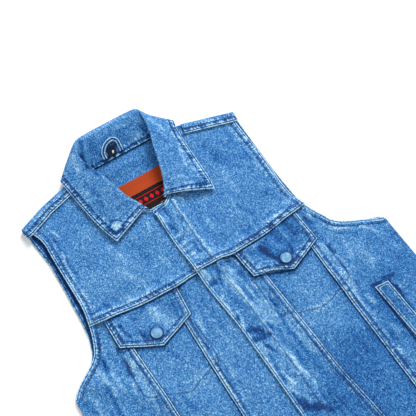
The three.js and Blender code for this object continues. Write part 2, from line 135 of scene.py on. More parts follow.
# The back: one panel of washed denim that lies on the table from hem to neck. It is lifted at
# the neck, where the collar's leaf lies under it. Only its inside shows, past the armholes of
# the fronts and through the neck.
CLOTH = 1.0
# Free height left between layers, the size of a grid's cells, and the room for the leaf.
GAP = 0.3
CELL = 2.2
LEAF_ROOM = 3.0
# Columns: y, x at the wearer's right, x at the wearer's left.
BACK_EDGE = np.array([
    [HEM_Y, -269, 279], [-200, -264, 278], [-29, -261, 276], [-3, -259, 274], [7, -248, 248],
    [20, -230, 222], [33, -212, 206], [45, -204, 200], [67, -197, 190], [95, -194, 184],
    [150, -190, 182], [200, -188, 183], [235, -192, 184], [262, -195, 186],
])
# The fronts' outer edge, with the armhole cut a little deeper. Same columns.
FRONT_EDGE = np.array([
    [HEM_Y, -269, 279], [-200, -264, 278], [-29, -261, 276], [-3, -258, 273], [7, -249, 247],
    [20, -229, 221], [33, -210, 205], [45, -201, 199], [67, -192, 189], [86, -187, 183],
    [112, -182, 177], [158, -181, 179], [199, -180, 180], [235, -178, 179], [255, -185, 179],
    [272, -192, 182],
])
# The fold over the shoulders and the neck seam. Columns: x, y.
TOP_EDGE = np.array([
    [-196, 271], [-154, 288], [-104, 302], [-80, 304], [0, 304], [80, 304], [104, 301],
    [140, 290], [186, 276],
])


def ease(low, high, value):
    """0 below low, 1 above high, and a smooth S between them."""
    t = np.clip((np.asarray(value, float) - low) / (high - low), 0, 1)
    return t * t * (3 - 2 * t)


def mottle(x, y, seed):
    """Value noise from -1 to 1: random numbers on a lattice of whole x and y, eased between."""
    dice = np.random.default_rng(seed).uniform(-1, 1, (64, 64))
    x0, y0 = np.floor(x).astype(int), np.floor(y).astype(int)
    u, v = ease(0, 1, x - x0), ease(0, 1, y - y0)
    at = lambda i, j: dice[(y0 + j) % 64, (x0 + i) % 64]
    low = at(0, 0) * (1 - u) + at(1, 0) * u
    return low * (1 - v) + (at(0, 1) * (1 - u) + at(1, 1) * u) * v


def smooth_line(points, where):
    """Catmull-Rom curve through points, at the positions where, counted in points."""
    p = np.asarray(points, float)
    where = np.clip(np.asarray(where, float), 0, len(p) - 1)
    k = np.minimum(where.astype(int), len(p) - 2)
    t = (where - k)[:, None]
    a, b, c, d = p[np.maximum(k - 1, 0)], p[k], p[k + 1], p[np.minimum(k + 2, len(p) - 1)]
    bend = 2 * a - 5 * b + 4 * c - d
    return 0.5 * (2 * b + (c - a) * t + bend * t**2 + (3 * b - a - 3 * c + d) * t**3)


def spaced(length, cell):
    """Fractions along a length: close together near both ends, then even, about a cell apart."""
    near = np.array([0, 0.45, 1.1, 2.2])
    count = max(2, int(round((length - 2 * near[-1]) / cell)))
    middle = np.linspace(near[-1], length - near[-1], count + 1)
    return np.concatenate([near[:-1], middle, (length - near[:-1])[::-1]]) / length


def ruled_grid(low, high, cell=CELL):
    """Points between two matched edges: each row runs straight from one edge to the other."""
    low, high = np.asarray(low, float), np.asarray(high, float)
    dense = np.linspace(0, len(low) - 1, 40 * (len(low) - 1) + 1)
    a, b = smooth_line(low, dense), smooth_line(high, dense)
    middle = (a + b) / 2
    run = np.concatenate([[0], np.cumsum(np.linalg.norm(np.diff(middle, axis=0), axis=1))])
    where = np.interp(spaced(run[-1], cell) * run[-1], run, dense)
    a, b = smooth_line(low, where), smooth_line(high, where)
    across = spaced(np.linalg.norm(b - a, axis=1).max(), cell)[None, :, None]
    return a[:, None] * (1 - across) + b[:, None] * across


def nearest(points, line):
    """How far each point is from a line of points, and how far along the line that is."""
    line = np.asarray(line, float)
    flat = points.reshape(-1, 2)
    start, step = line[:-1], np.diff(line, axis=0)
    size = np.maximum(np.linalg.norm(step, axis=1), 1e-6)
    before = np.concatenate([[0], np.cumsum(size)[:-1]])
    best = np.full(len(flat), 1e9)
    along = np.zeros(len(flat))
    for p, d, l, s in zip(start, step, size, before):
        t = np.clip(((flat - p) @ d) / l**2, 0, 1)
        gap = np.linalg.norm(flat - p - t[:, None] * d, axis=1)
        closer = gap < best
        best = np.where(closer, gap, best)
        along = np.where(closer, s + t * l, along)
    return best.reshape(points.shape[:-1]), along.reshape(points.shape[:-1])


# Heights of all that is laid so far, in square cells, so that each piece rests on the last.
BED_CELL = 2.5
BED_FROM = np.array([-300.0, -400.0])
bed = np.zeros((320, 240))


def enter_bed(points):
    """Raises the bed to the points, each in its own cell."""
    cell = np.round((points[..., :2] - BED_FROM) / BED_CELL).astype(int).reshape(-1, 2)
    np.maximum.at(bed, (cell[:, 1], cell[:, 0]), points[..., 2].ravel())


def look_up(grid, row, column):
    """A grid's values at places between its points, blended straight both ways."""
    i = np.minimum(np.floor(row).astype(int), len(grid) - 2)
    j = np.minimum(np.floor(column).astype(int), grid.shape[1] - 2)
    u, v = row - i, column - j
    if grid.ndim == 3:
        u, v = u[..., None], v[..., None]
    low = grid[i, j] * (1 - v) + grid[i, j + 1] * v
    return low * (1 - u) + (grid[i + 1, j] * (1 - v) + grid[i + 1, j + 1] * v) * u


def rest_on_bed(points, reach=3, raster=None):
    """The bed's greatest height within a reach of cells, averaged over a little less, plus a gap."""
    high = bed if raster is None else raster
    for axis in (0, 1):
        high = np.max([np.roll(high, k, axis) for k in range(-reach, reach + 1)], axis=0)
    soft = max(reach - 1, 1)
    for axis in (0, 1):
        high = np.mean([np.roll(high, k, axis) for k in range(-soft, soft + 1)], axis=0)
    at = (points - BED_FROM) / BED_CELL
    return look_up(high, at[..., 1], at[..., 0]) + GAP


def add_piece(name, node, points, faces, material, smooth=True):
    """A piece from points in the vest's frame, in place of a node if one is named."""
    mesh = bpy.data.meshes.new(name)
    mesh.from_pydata(((points + TO_ROW) * MM).tolist(), [], faces)
    if smooth:
        mesh.shade_smooth()
    mesh.materials.append(material)
    piece = bpy.data.objects.new(name, mesh)
    bpy.context.collection.objects.link(piece)
    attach(piece, "root")
    if node:
        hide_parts(node)
    return piece


def with_height(xy, height):
    """Points on the flat and their heights, as points in space."""
    return np.concatenate([xy, np.broadcast_to(height, xy.shape[:-1])[..., None]], -1)


def close_shell(name, node, top, under, cut, marks, material):
    """A closed wall between a grid of top points and one of under points. cut holds each point's
    place in the flat cut cloth, and marks the numbers that the cloth's finish follows."""
    index = np.arange(top[..., 0].size).reshape(top.shape[:2])
    below = index + index.size

    def quads(*corners):
        """Faces from four equal grids of point numbers, one number from each."""
        return np.stack([corner.ravel() for corner in corners], 1)

    face = quads(index[:-1, :-1], index[:-1, 1:], index[1:, 1:], index[1:, :-1])
    back = quads(below[:-1, :-1], below[1:, :-1], below[1:, 1:], below[:-1, 1:])
    rim = [
        quads(index[0, :-1], below[0, :-1], below[0, 1:], index[0, 1:]),
        quads(index[-1, 1:], below[-1, 1:], below[-1, :-1], index[-1, :-1]),
        quads(index[1:, 0], below[1:, 0], below[:-1, 0], index[:-1, 0]),
        quads(index[:-1, -1], below[:-1, -1], below[1:, -1], index[1:, -1]),
    ]
    faces = np.concatenate([face, back, *rim])
    points = np.concatenate([top.reshape(-1, 3), under.reshape(-1, 3)])
    piece = add_piece(name, node, points, faces.tolist(), material)
    mesh = piece.data
    flat = np.tile(cut.reshape(-1, 2), (2, 1)) / 100
    uv = mesh.uv_layers.new(name="cut")
    uv.data.foreach_set("uv", flat[faces.ravel()].astype(np.float32).ravel())
    for key, value in marks.items():
        layer = mesh.attributes.new(key, "FLOAT", "POINT")
        layer.data.foreach_set("value", np.tile(value.ravel(), 2).astype(np.float32))
    return piece


def denim_group():
    """Stonewashed indigo twill. A tone from 0, dark indigo, to 1, bleached, is added up from
    streaks along the warp, blotches, worn folds and ridges, troughs darkened partly as painted
    shade, and painted shade beside seams, under other pieces' edges, with some unwashed indigo.
    It picks the colour, and the twill's diagonal lines give the height."""
    group = bpy.data.node_groups.new("washed denim", "ShaderNodeTree")
    for name, way, kind in (("Tone", "INPUT", "Float"), ("Color", "OUTPUT", "Color"),
                            ("Roughness", "OUTPUT", "Float"), ("Height", "OUTPUT", "Float")):
        group.interface.new_socket(name, in_out=way, socket_type="NodeSocket" + kind)
    given = add_node(group, "NodeGroupInput")

    def calc(operation, *values):
        """The result of one maths node, whose inputs are sockets or numbers."""
        made = add_node(group, "ShaderNodeMath", dict(enumerate(values)), operation=operation)
        return made.outputs[0]

    def mark(name):
        """One of the numbers that the piece carries at each of its points."""
        return add_node(group, "ShaderNodeAttribute", attribute_name=name).outputs["Fac"]

    def band(value, low, high):
        """1 below low, falling smoothly to 0 at high."""
        made = add_node(group, "ShaderNodeMapRange", {
            "Value": value, "From Min": low, "From Max": high, "To Min": 1.0, "To Max": 0.0,
        }, interpolation_type="SMOOTHSTEP")
        return made.outputs["Result"]

    def strip(value, rise, full, fall, end):
        """0 up to rise, 1 from full to fall, and 0 again from end on."""
        return calc("MULTIPLY", band(value, fall, end), calc("SUBTRACT", 1.0, band(value, rise, full)))

    def speckle(u, v, width, length, detail, shift):
        """Noise about zero whose grains are width by length millimetres."""
        at = add_node(group, "ShaderNodeCombineXYZ", {
            "X": calc("DIVIDE", u, width), "Y": calc("DIVIDE", v, length), "Z": shift,
        })
        made = add_node(group, "ShaderNodeTexNoise", {
            "Vector": at.outputs[0], "Scale": 1.0, "Detail": detail, "Roughness": 0.6,
        })
        return calc("SUBTRACT", made.outputs["Fac"], 0.5)

    cut = add_node(group, "ShaderNodeUVMap", uv_map="cut").outputs[0]
    place = add_node(group, "ShaderNodeSeparateXYZ", {"Vector": cut})
    u = calc("MULTIPLY", place.outputs[0], 100.0)
    v = calc("MULTIPLY", place.outputs[1], 100.0)
    edge, edge_along = mark("edge"), mark("edge_along")
    line, line_along = mark("line"), mark("line_along")
    cover, ridge, roping = mark("cover"), mark("ridge"), mark("roping")

    weave = speckle(u, v, 0.9, 2.2, 1.0, 0.3)
    slant = calc("MULTIPLY_ADD", edge, 0.35, edge_along)
    bars = calc("MULTIPLY", speckle(slant, edge, 2.3, 8.0, 1.0, 2.2), roping)
    pull = calc("ADD", speckle(line_along, line, 3.0, 9.0, 1.0, 7.7), 0.08)
    pull = calc("MULTIPLY", strip(line, 0.8, 1.8, 3.0, 9.0), pull)
    layers = [
        # The weave, slubs along and across it, and blotches.
        (weave, 1.75),
        (speckle(u, v, 0.9, 6.0, 1.0, 4.3), 0.60),
        (speckle(u, v, 5.0, 0.9, 1.0, 6.6), 0.55),
        (speckle(u, v, 2.0, 4.8, 1.0, 5.1), 0.18),
        (speckle(u, v, 8.0, 14.0, 2.0, 9.7), 0.07),
        (speckle(u, v, 42.0, 60.0, 1.0, 3.3), 0.10),
        # Relief: lighter where the cloth stands out, darker in troughs, partly as painted shade.
        (ridge, 0.42),
        # Roping: light and dark bars across the double cloth behind each folded edge.
        (calc("MULTIPLY", bars, band(edge, 8.0, 14.0)), 1.9),
        # A worn light rim, a dark groove at the first row, a light strip and a dark one.
        (band(edge, 0.8, 1.8), 0.5),
        (strip(edge, 1.6, 2.2, 2.6, 3.2), -0.3),
        (strip(edge, 2.8, 3.4, 4.2, 5.2), 0.3),
        (strip(edge, 4.6, 5.6, 8.0, 9.4), calc("MULTIPLY_ADD", roping, -0.20, -0.05)),
        # A row of stitches draws the cloth in: dark in the row, worn light on both sides.
        (band(line, 0.7, 1.8), calc("MULTIPLY_ADD", roping, -0.22, -0.12)),
        (calc("MULTIPLY", pull, roping), 1.3),
        # Cloth just under another piece's edge is painted dark: painted shade, with the unwashed
        # indigo that such cloth keeps.
        (band(cover, 0.6, 2.4), -0.42),
        (band(cover, 2.0, 12.0), -0.10),
    ]
    middle_tone = 0.48
    tone = calc("ADD", given.outputs["Tone"], middle_tone)
    for layer, weight in layers:
        tone = calc("MULTIPLY_ADD", layer, weight, tone)
    shades = add_node(group, "ShaderNodeValToRGB", {"Fac": tone})
    ramp = shades.color_ramp
    indigo, bleached = (0.001, 0.025, 0.120, 1), (0.510, 0.740, 0.840, 1)
    ramp.elements[0].color, ramp.elements[1].color = indigo, bleached
    ramp.elements.new(0.25).color = (0.003, 0.093, 0.350, 1)
    ramp.elements.new(0.50).color = (0.037, 0.205, 0.500, 1)
    ramp.elements.new(0.75).color = (0.165, 0.380, 0.635, 1)
    twill_pitch = 1.3
    slope = calc("ADD", u, calc("MULTIPLY", v, 0.6))
    twill = calc("SINE", calc("MULTIPLY", slope, 6.283 / twill_pitch))
    add_node(group, "NodeGroupOutput", {
        "Color": shades.outputs["Color"], "Roughness": calc("MULTIPLY_ADD", tone, 0.1, 0.78),
        "Height": calc("MULTIPLY_ADD", twill, 0.5, calc("MULTIPLY", weave, 2.0)),
    })
    return group


denim_cloth = denim_group()


def denim_material(name, tone):
    """Washed denim at its own tone: cotton, nearly matt, with a little sheen."""
    material, tree, shader = new_material(name)
    cloth = add_node(tree, "ShaderNodeGroup", {"Tone": tone}, node_tree=denim_cloth)
    bump = add_node(tree, "ShaderNodeBump", {
        "Height": cloth.outputs["Height"], "Strength": 0.35, "Distance": 0.0003,
    })
    set_inputs(shader, {
        "Base Color": cloth.outputs["Color"], "Roughness": cloth.outputs["Roughness"],
        "Normal": bump.outputs["Normal"], "Sheen Weight": 0.05, "Specular IOR Level": 0.2,
    })
    return material


denim = denim_material("washed denim", 0.0)
# The back's inside, a darker copy of the denim: painted shade inside the vest.
shaded_denim_inside = denim_material("shaded denim inside", -0.08)
FAR = 99.0


def fade_marks(shape):
    """The marks of a piece with no seam near: each distance is far and no ridge is worn."""
    names = ("edge", "edge_along", "line", "line_along", "cover")
    rest = {"ridge": np.zeros(shape), "roping": np.ones(shape)}
    return {name: np.full(shape, FAR) for name in names} | rest


def make_back():
    """The flat panel: even rows up to the chest, then blended up to the neck and shoulders,
    where it ends short of the fold over the shoulder. It is flat but for the lift at the neck."""
    chest_y, chest_share, shoulder_from, fold_depth = 200, 0.85, 104, 8.4
    across = np.linspace(-1, 1, 150)[None, :]
    up = np.linspace(0, 1, 170)[:, None]
    y = HEM_Y + (chest_y - HEM_Y) * np.minimum(up / chest_share, 1)
    half = np.where(across < 0, np.interp(y, BACK_EDGE[:, 0], -BACK_EDGE[:, 1]),
                    np.interp(y, BACK_EDGE[:, 0], BACK_EDGE[:, 2]))
    top_half = np.where(across < 0, 194.0, 185.5)
    head = np.clip((up - chest_share) / (1 - chest_share), 0, 1)
    x = across * (half * (1 - head) + top_half * head)
    end = np.interp(across * top_half, TOP_EDGE[:, 0], TOP_EDGE[:, 1])
    end = end - np.where(np.abs(across * top_half) > shoulder_from, fold_depth, 0.0)
    y = y + head * (end - chest_y)
    lift = LEAF_ROOM * (1 - ease(108, 134, np.abs(x))) * ease(268, 288, y)
    marks = fade_marks(x.shape)
    rim = np.concatenate([np.stack([x[:, 0], y[:, 0]], 1)[::-1], np.stack([x[0], y[0]], 1),
                          np.stack([x[:, -1], y[:, -1]], 1)])
    xy = np.stack([x, y], -1)
    marks["edge"], marks["edge_along"] = nearest(xy, rim)
    # Painted shade along the neck seam and beside the fronts' armhole edges, which lie over the back.
    marks["cover"] = nearest(xy, TOP_EDGE[2:7] + [0, 1])[0] + 1.7
    for column in (1, 2):
        armhole = np.stack([FRONT_EDGE[2:, column], FRONT_EDGE[2:, 0]], 1)
        marks["cover"] = np.minimum(marks["cover"], nearest(xy, armhole)[0] / 3)
    marks["roping"] = 0.5 * ease(-30, 10, y)
    pucker = 0.25 * mottle(marks["edge_along"] / 5, marks["edge"] / 7, 3)
    pucker = pucker * (1 - ease(8, 14, marks["edge"]))
    waves = 0.35 * mottle(x / 26, y / 30, 5)
    marks["ridge"] = pucker * 1.4 + waves * 0.3
    thick = CLOTH + 0.5 * (1 - ease(8, 10, marks["edge"])) + pucker + np.abs(waves) * 0.8
    top, under = with_height(xy, lift + thick), with_height(xy, lift)
    piece = close_shell("vest_back", "back", top, under, xy, marks, shaded_denim_inside)
    enter_bed(top)


make_back()


# The label sewn inside the back at the neck: an orange band over a black field, both flat
# woven tape stitched round their edges. Only their tops show, under the collar. The field
# carries a plain row of red diamonds between two red lines.
def plain_cloth(name, colour, rough=0.85):
    """One dyed colour with a fine weave: a small noise in the tone and in the bump."""
    material, tree, shader = new_material(name)
    place = add_node(tree, "ShaderNodeTexCoord").outputs["Object"]
    grain = add_node(tree, "ShaderNodeTexNoise", {"Vector": place, "Scale": 900.0, "Detail": 2.0})
    shade = add_node(tree, "ShaderNodeMixRGB", {
        "Fac": grain.outputs["Fac"], "Color1": (*[c * 0.6 for c in colour], 1),
        "Color2": (*[min(1, c * 1.4) for c in colour], 1),
    })
    bump = add_node(tree, "ShaderNodeBump", {
        "Height": grain.outputs["Fac"], "Strength": 0.4, "Distance": 0.0002,
    })
    set_inputs(shader, {
        "Base Color": shade.outputs["Color"], "Roughness": rough,
        "Normal": bump.outputs["Normal"], "Specular IOR Level": 0.15,
    })
    return material


def even_grid(corners, columns, rows):
    """Points spread evenly between four corners: low left, low right, top left, top right."""
    a, b, c, d = np.asarray(corners, float)
    u = np.linspace(0, 1, columns)[None, :, None]
    v = np.linspace(0, 1, rows)[:, None, None]
    return (a * (1 - u) + b * u) * (1 - v) + (c * (1 - u) + d * u) * v


# The tapes' thickness, and half the label's width.
TAPE = 0.7
LABEL_HALF = 56


def lay_tape(name, node, low, high, material):
    """A flat tape across the label on the bed, gently uneven, from one y to another."""
    xy = even_grid([(x, y) for y in (low, high) for x in (-LABEL_HALF, LABEL_HALF)], 60, 30)
    under = with_height(xy, rest_on_bed(xy) + 0.15 * mottle(xy[..., 0] / 12, xy[..., 1] / 12, 8))
    top = under + [0, 0, TAPE]
    piece = close_shell(name, node, top, under, xy, {}, material)
    enter_bed(top)
    return piece


black_tape = plain_cloth("black tape", (0.012, 0.010, 0.009))
orange_tape = plain_cloth("orange tape", (0.40, 0.052, 0.010))
red_thread = plain_cloth("red thread", (0.62, 0.008, 0.014))
field = lay_tape("label_field_tape", "label_field", 158, 231, black_tape)
band = lay_tape("label_band_tape", "label_band", 231.6, 257, orange_tape)


def sew_diamonds():
    """Nine flat diamonds in a row and a thin bar above and below them, standing off the tape."""
    points, faces = [], []
    level = float(rest_on_bed(np.array([[0.0, 218.0]]), 0)[0])
    outlines = [[(x - 3.6, 217), (x, 212.4), (x + 3.6, 217), (x, 221.6)] for x in range(-40, 41, 10)]
    outlines += [[(-45, y), (45, y), (45, y + 1.0), (-45, y + 1.0)] for y in (208.6, 224.4)]
    for start, outline in zip(range(0, 8 * len(outlines), 8), outlines):
        points.extend([(x, y, level + 0.25) for x, y in outline])
        points.extend([(x, y, level - 0.15) for x, y in outline])
        faces.append([start + k for k in range(4)])
        faces.append([start + 4 + k for k in reversed(range(4))])
        for k in range(4):
            j = (k + 1) % 4
            faces.append([start + j, start + k, start + 4 + k, start + 4 + j])
    add_piece("label_diamonds", None, np.array(points), faces, red_thread, False)


sew_diamonds()


# The wearer's right front, laid first: a pocket panel between two slanting seams, the centre
# and side panels lapped over it, a hand-pocket welt, the breast flap, and the yoke lapped over
# them all along the chest seam. Every seam is turned under and sewn down with two rows.
# Columns: x, y.
CHEST_SEAM = np.array([[0, 67], [30, 66], [50, 62.5], [80, 64], [112, 66.5], [142, 71], [166, 73],
                       [186, 78]])
# The two slanting seams. Columns: y, inner x, outer x.
V_SEAMS = np.array([[HEM_Y, 98, 148], [-256, 87, 149], [-160, 77, 150], [-70, 74, 150],
                    [15, 70, 152], [90, 67, 155]])
# The columns of the inner and the outer one, and how far cloth runs on under a seam.
INNER, OUTER = 1, 2
LAP = 10.0
# Broad folds and creases of the fronts. Columns: x0, y0, x1, y1, half width, height.
FOLDS = np.array([
    [-235, 5, -150, -70, 26, 3.0], [245, -2, 165, -60, 26, 3.0], [-120, 110, -40, 170, 34, 2.4],
    [60, 100, 150, 200, 36, 2.6], [-215, -60, -190, -330, 30, 2.8],
    [225, -70, 200, -330, 30, 2.8], [-110, -110, -105, -330, 30, 2.2],
    [112, -120, 108, -340, 30, 2.2], [-50, -60, -42, -300, 24, 1.6],
    [55, -100, 52, -320, 24, 1.6],
])


def ridges(x, y, table, stray=0.0):
    """Soft ridges along lines, fading to nothing at each one's half width. A stray in mm lets
    noise push the lines and break their height, so that none is straight or even."""
    total = np.zeros_like(x)
    if stray:
        height_share = 1 + 0.55 * mottle(x / 6, y / 6, 33)
        x, y = x + stray * mottle(x / 11, y / 11, 31), y + stray * mottle(x / 11, y / 11, 32)
    for x0, y0, x1, y1, half, height in table:
        dx, dy = x1 - x0, y1 - y0
        t = np.clip(((x - x0) * dx + (y - y0) * dy) / (dx * dx + dy * dy), 0, 1)
        away = np.hypot(x - x0 - dx * t, y - y0 - dy * t)
        total = total + height * (1 - ease(0, half, away))
    return total * height_share if stray else total


def air(x, y):
    """How high the fronts stand over the table: low at the side seams, full inside."""
    full = 4.6 * ease(0, 55, 272 - np.abs(x - 6))
    return CLOTH + GAP + full + ridges(x, y, FOLDS) * ease(-6, 55, 266 - np.abs(x - 6))


def inset(line, distance):
    """A line moved sideways to its left, with mitred corners."""
    p = np.asarray(line, float)
    step = np.diff(p, axis=0)
    side = np.stack([-step[:, 1], step[:, 0]], 1) / np.linalg.norm(step, axis=1)[:, None]
    before, after = np.concatenate([side[:1], side]), np.concatenate([side, side[-1:]])
    mitre = (before + after) / np.maximum(1 + np.sum(before * after, axis=1), 0.4)[:, None]
    return p + mitre * distance


def fine(line, parts=8):
    """The smooth curve through a coarse line's points."""
    return smooth_line(line, np.linspace(0, len(line) - 1, parts * (len(line) - 1) + 1))


bronze_thread = plain_cloth("bronze thread", (0.115, 0.125, 0.090), 0.6)
# One stitch is a flattened spindle along x: three rings of six points and two tips, 2.4 mm
# long, 0.84 mm wide and 0.68 mm high. It stands a little out of the cloth.
STITCH_PITCH = 3.1
STITCH_HALF = 0.6
STITCH_RISE = 0.12
RING = np.linspace(0, 2 * np.pi, 7)[:-1]
STITCH_BODY = np.array([[x, s * np.cos(a), s * np.sin(a)]
                        for x, s in ((-0.62, 0.7), (0, 1.0), (0.62, 0.7)) for a in RING]
                       + [[-1, 0, 0], [1, 0, 0]]) * [1.2, 0.42, 0.34]
STITCH_QUADS = np.array([(6 * k + i, 6 * k + (i + 1) % 6, 6 * k + 6 + (i + 1) % 6, 6 * k + 6 + i)
                         for k in (0, 1) for i in range(6)])
STITCH_TIPS = np.array([(18, (i + 1) % 6, i) for i in range(6)]
                       + [(19, 12 + i, 12 + (i + 1) % 6) for i in range(6)])


def along_line(line, *carried):
    """Stitches a pitch apart along a line of points: their directions, their middles, and what
    is carried along the line at each."""
    run = np.concatenate([[0], np.cumsum(np.linalg.norm(np.diff(line, axis=0), axis=1))])
    at = np.arange(STITCH_PITCH / 2, run[-1], STITCH_PITCH)

    def take(values, where):
        """Values given at the line's points, blended at places along its length."""
        return np.stack([np.interp(where, run, column) for column in values.T], 1)

    lengthwise = take(line, at + STITCH_HALF) - take(line, at - STITCH_HALF)
    lengthwise /= np.maximum(np.linalg.norm(lengthwise, axis=1), 1e-6)[:, None]
    return lengthwise, take(line, at), *[take(values, at) for values in carried]


def join_stitches(name, lines, material):
    """All the stitches of a piece as one mesh. Each line is an array of stitches by points."""
    faces, start = [], 0
    for stitches in lines:
        first = start + len(STITCH_BODY) * np.arange(len(stitches))
        for kind in (STITCH_QUADS, STITCH_TIPS):
            faces.extend((first[:, None, None] + kind).reshape(-1, kind.shape[1]).tolist())
        start += len(STITCH_BODY) * len(stitches)
    points = np.concatenate([stitches.reshape(-1, 3) for stitches in lines])
    add_piece(name, None, points, faces, material)


def sew(name, lines, surface, material=bronze_thread):
    """Stitches along lines on the flat, each point of them at the surface's upper height plus
    its own height, so that they are half sunk in the cloth."""
    body, sewn = STITCH_BODY[None], []
    for line in lines:
        lengthwise, middle = along_line(np.asarray(line, float))
        sideways = np.stack([-lengthwise[:, 1], lengthwise[:, 0]], 1)
        flat = (middle[:, None] + body[..., :1] * lengthwise[:, None]
                + body[..., 1:2] * sideways[:, None])
        sewn.append(with_height(flat, surface(flat)[1] + STITCH_RISE + body[..., 2]))
    join_stitches(name, sewn, material)
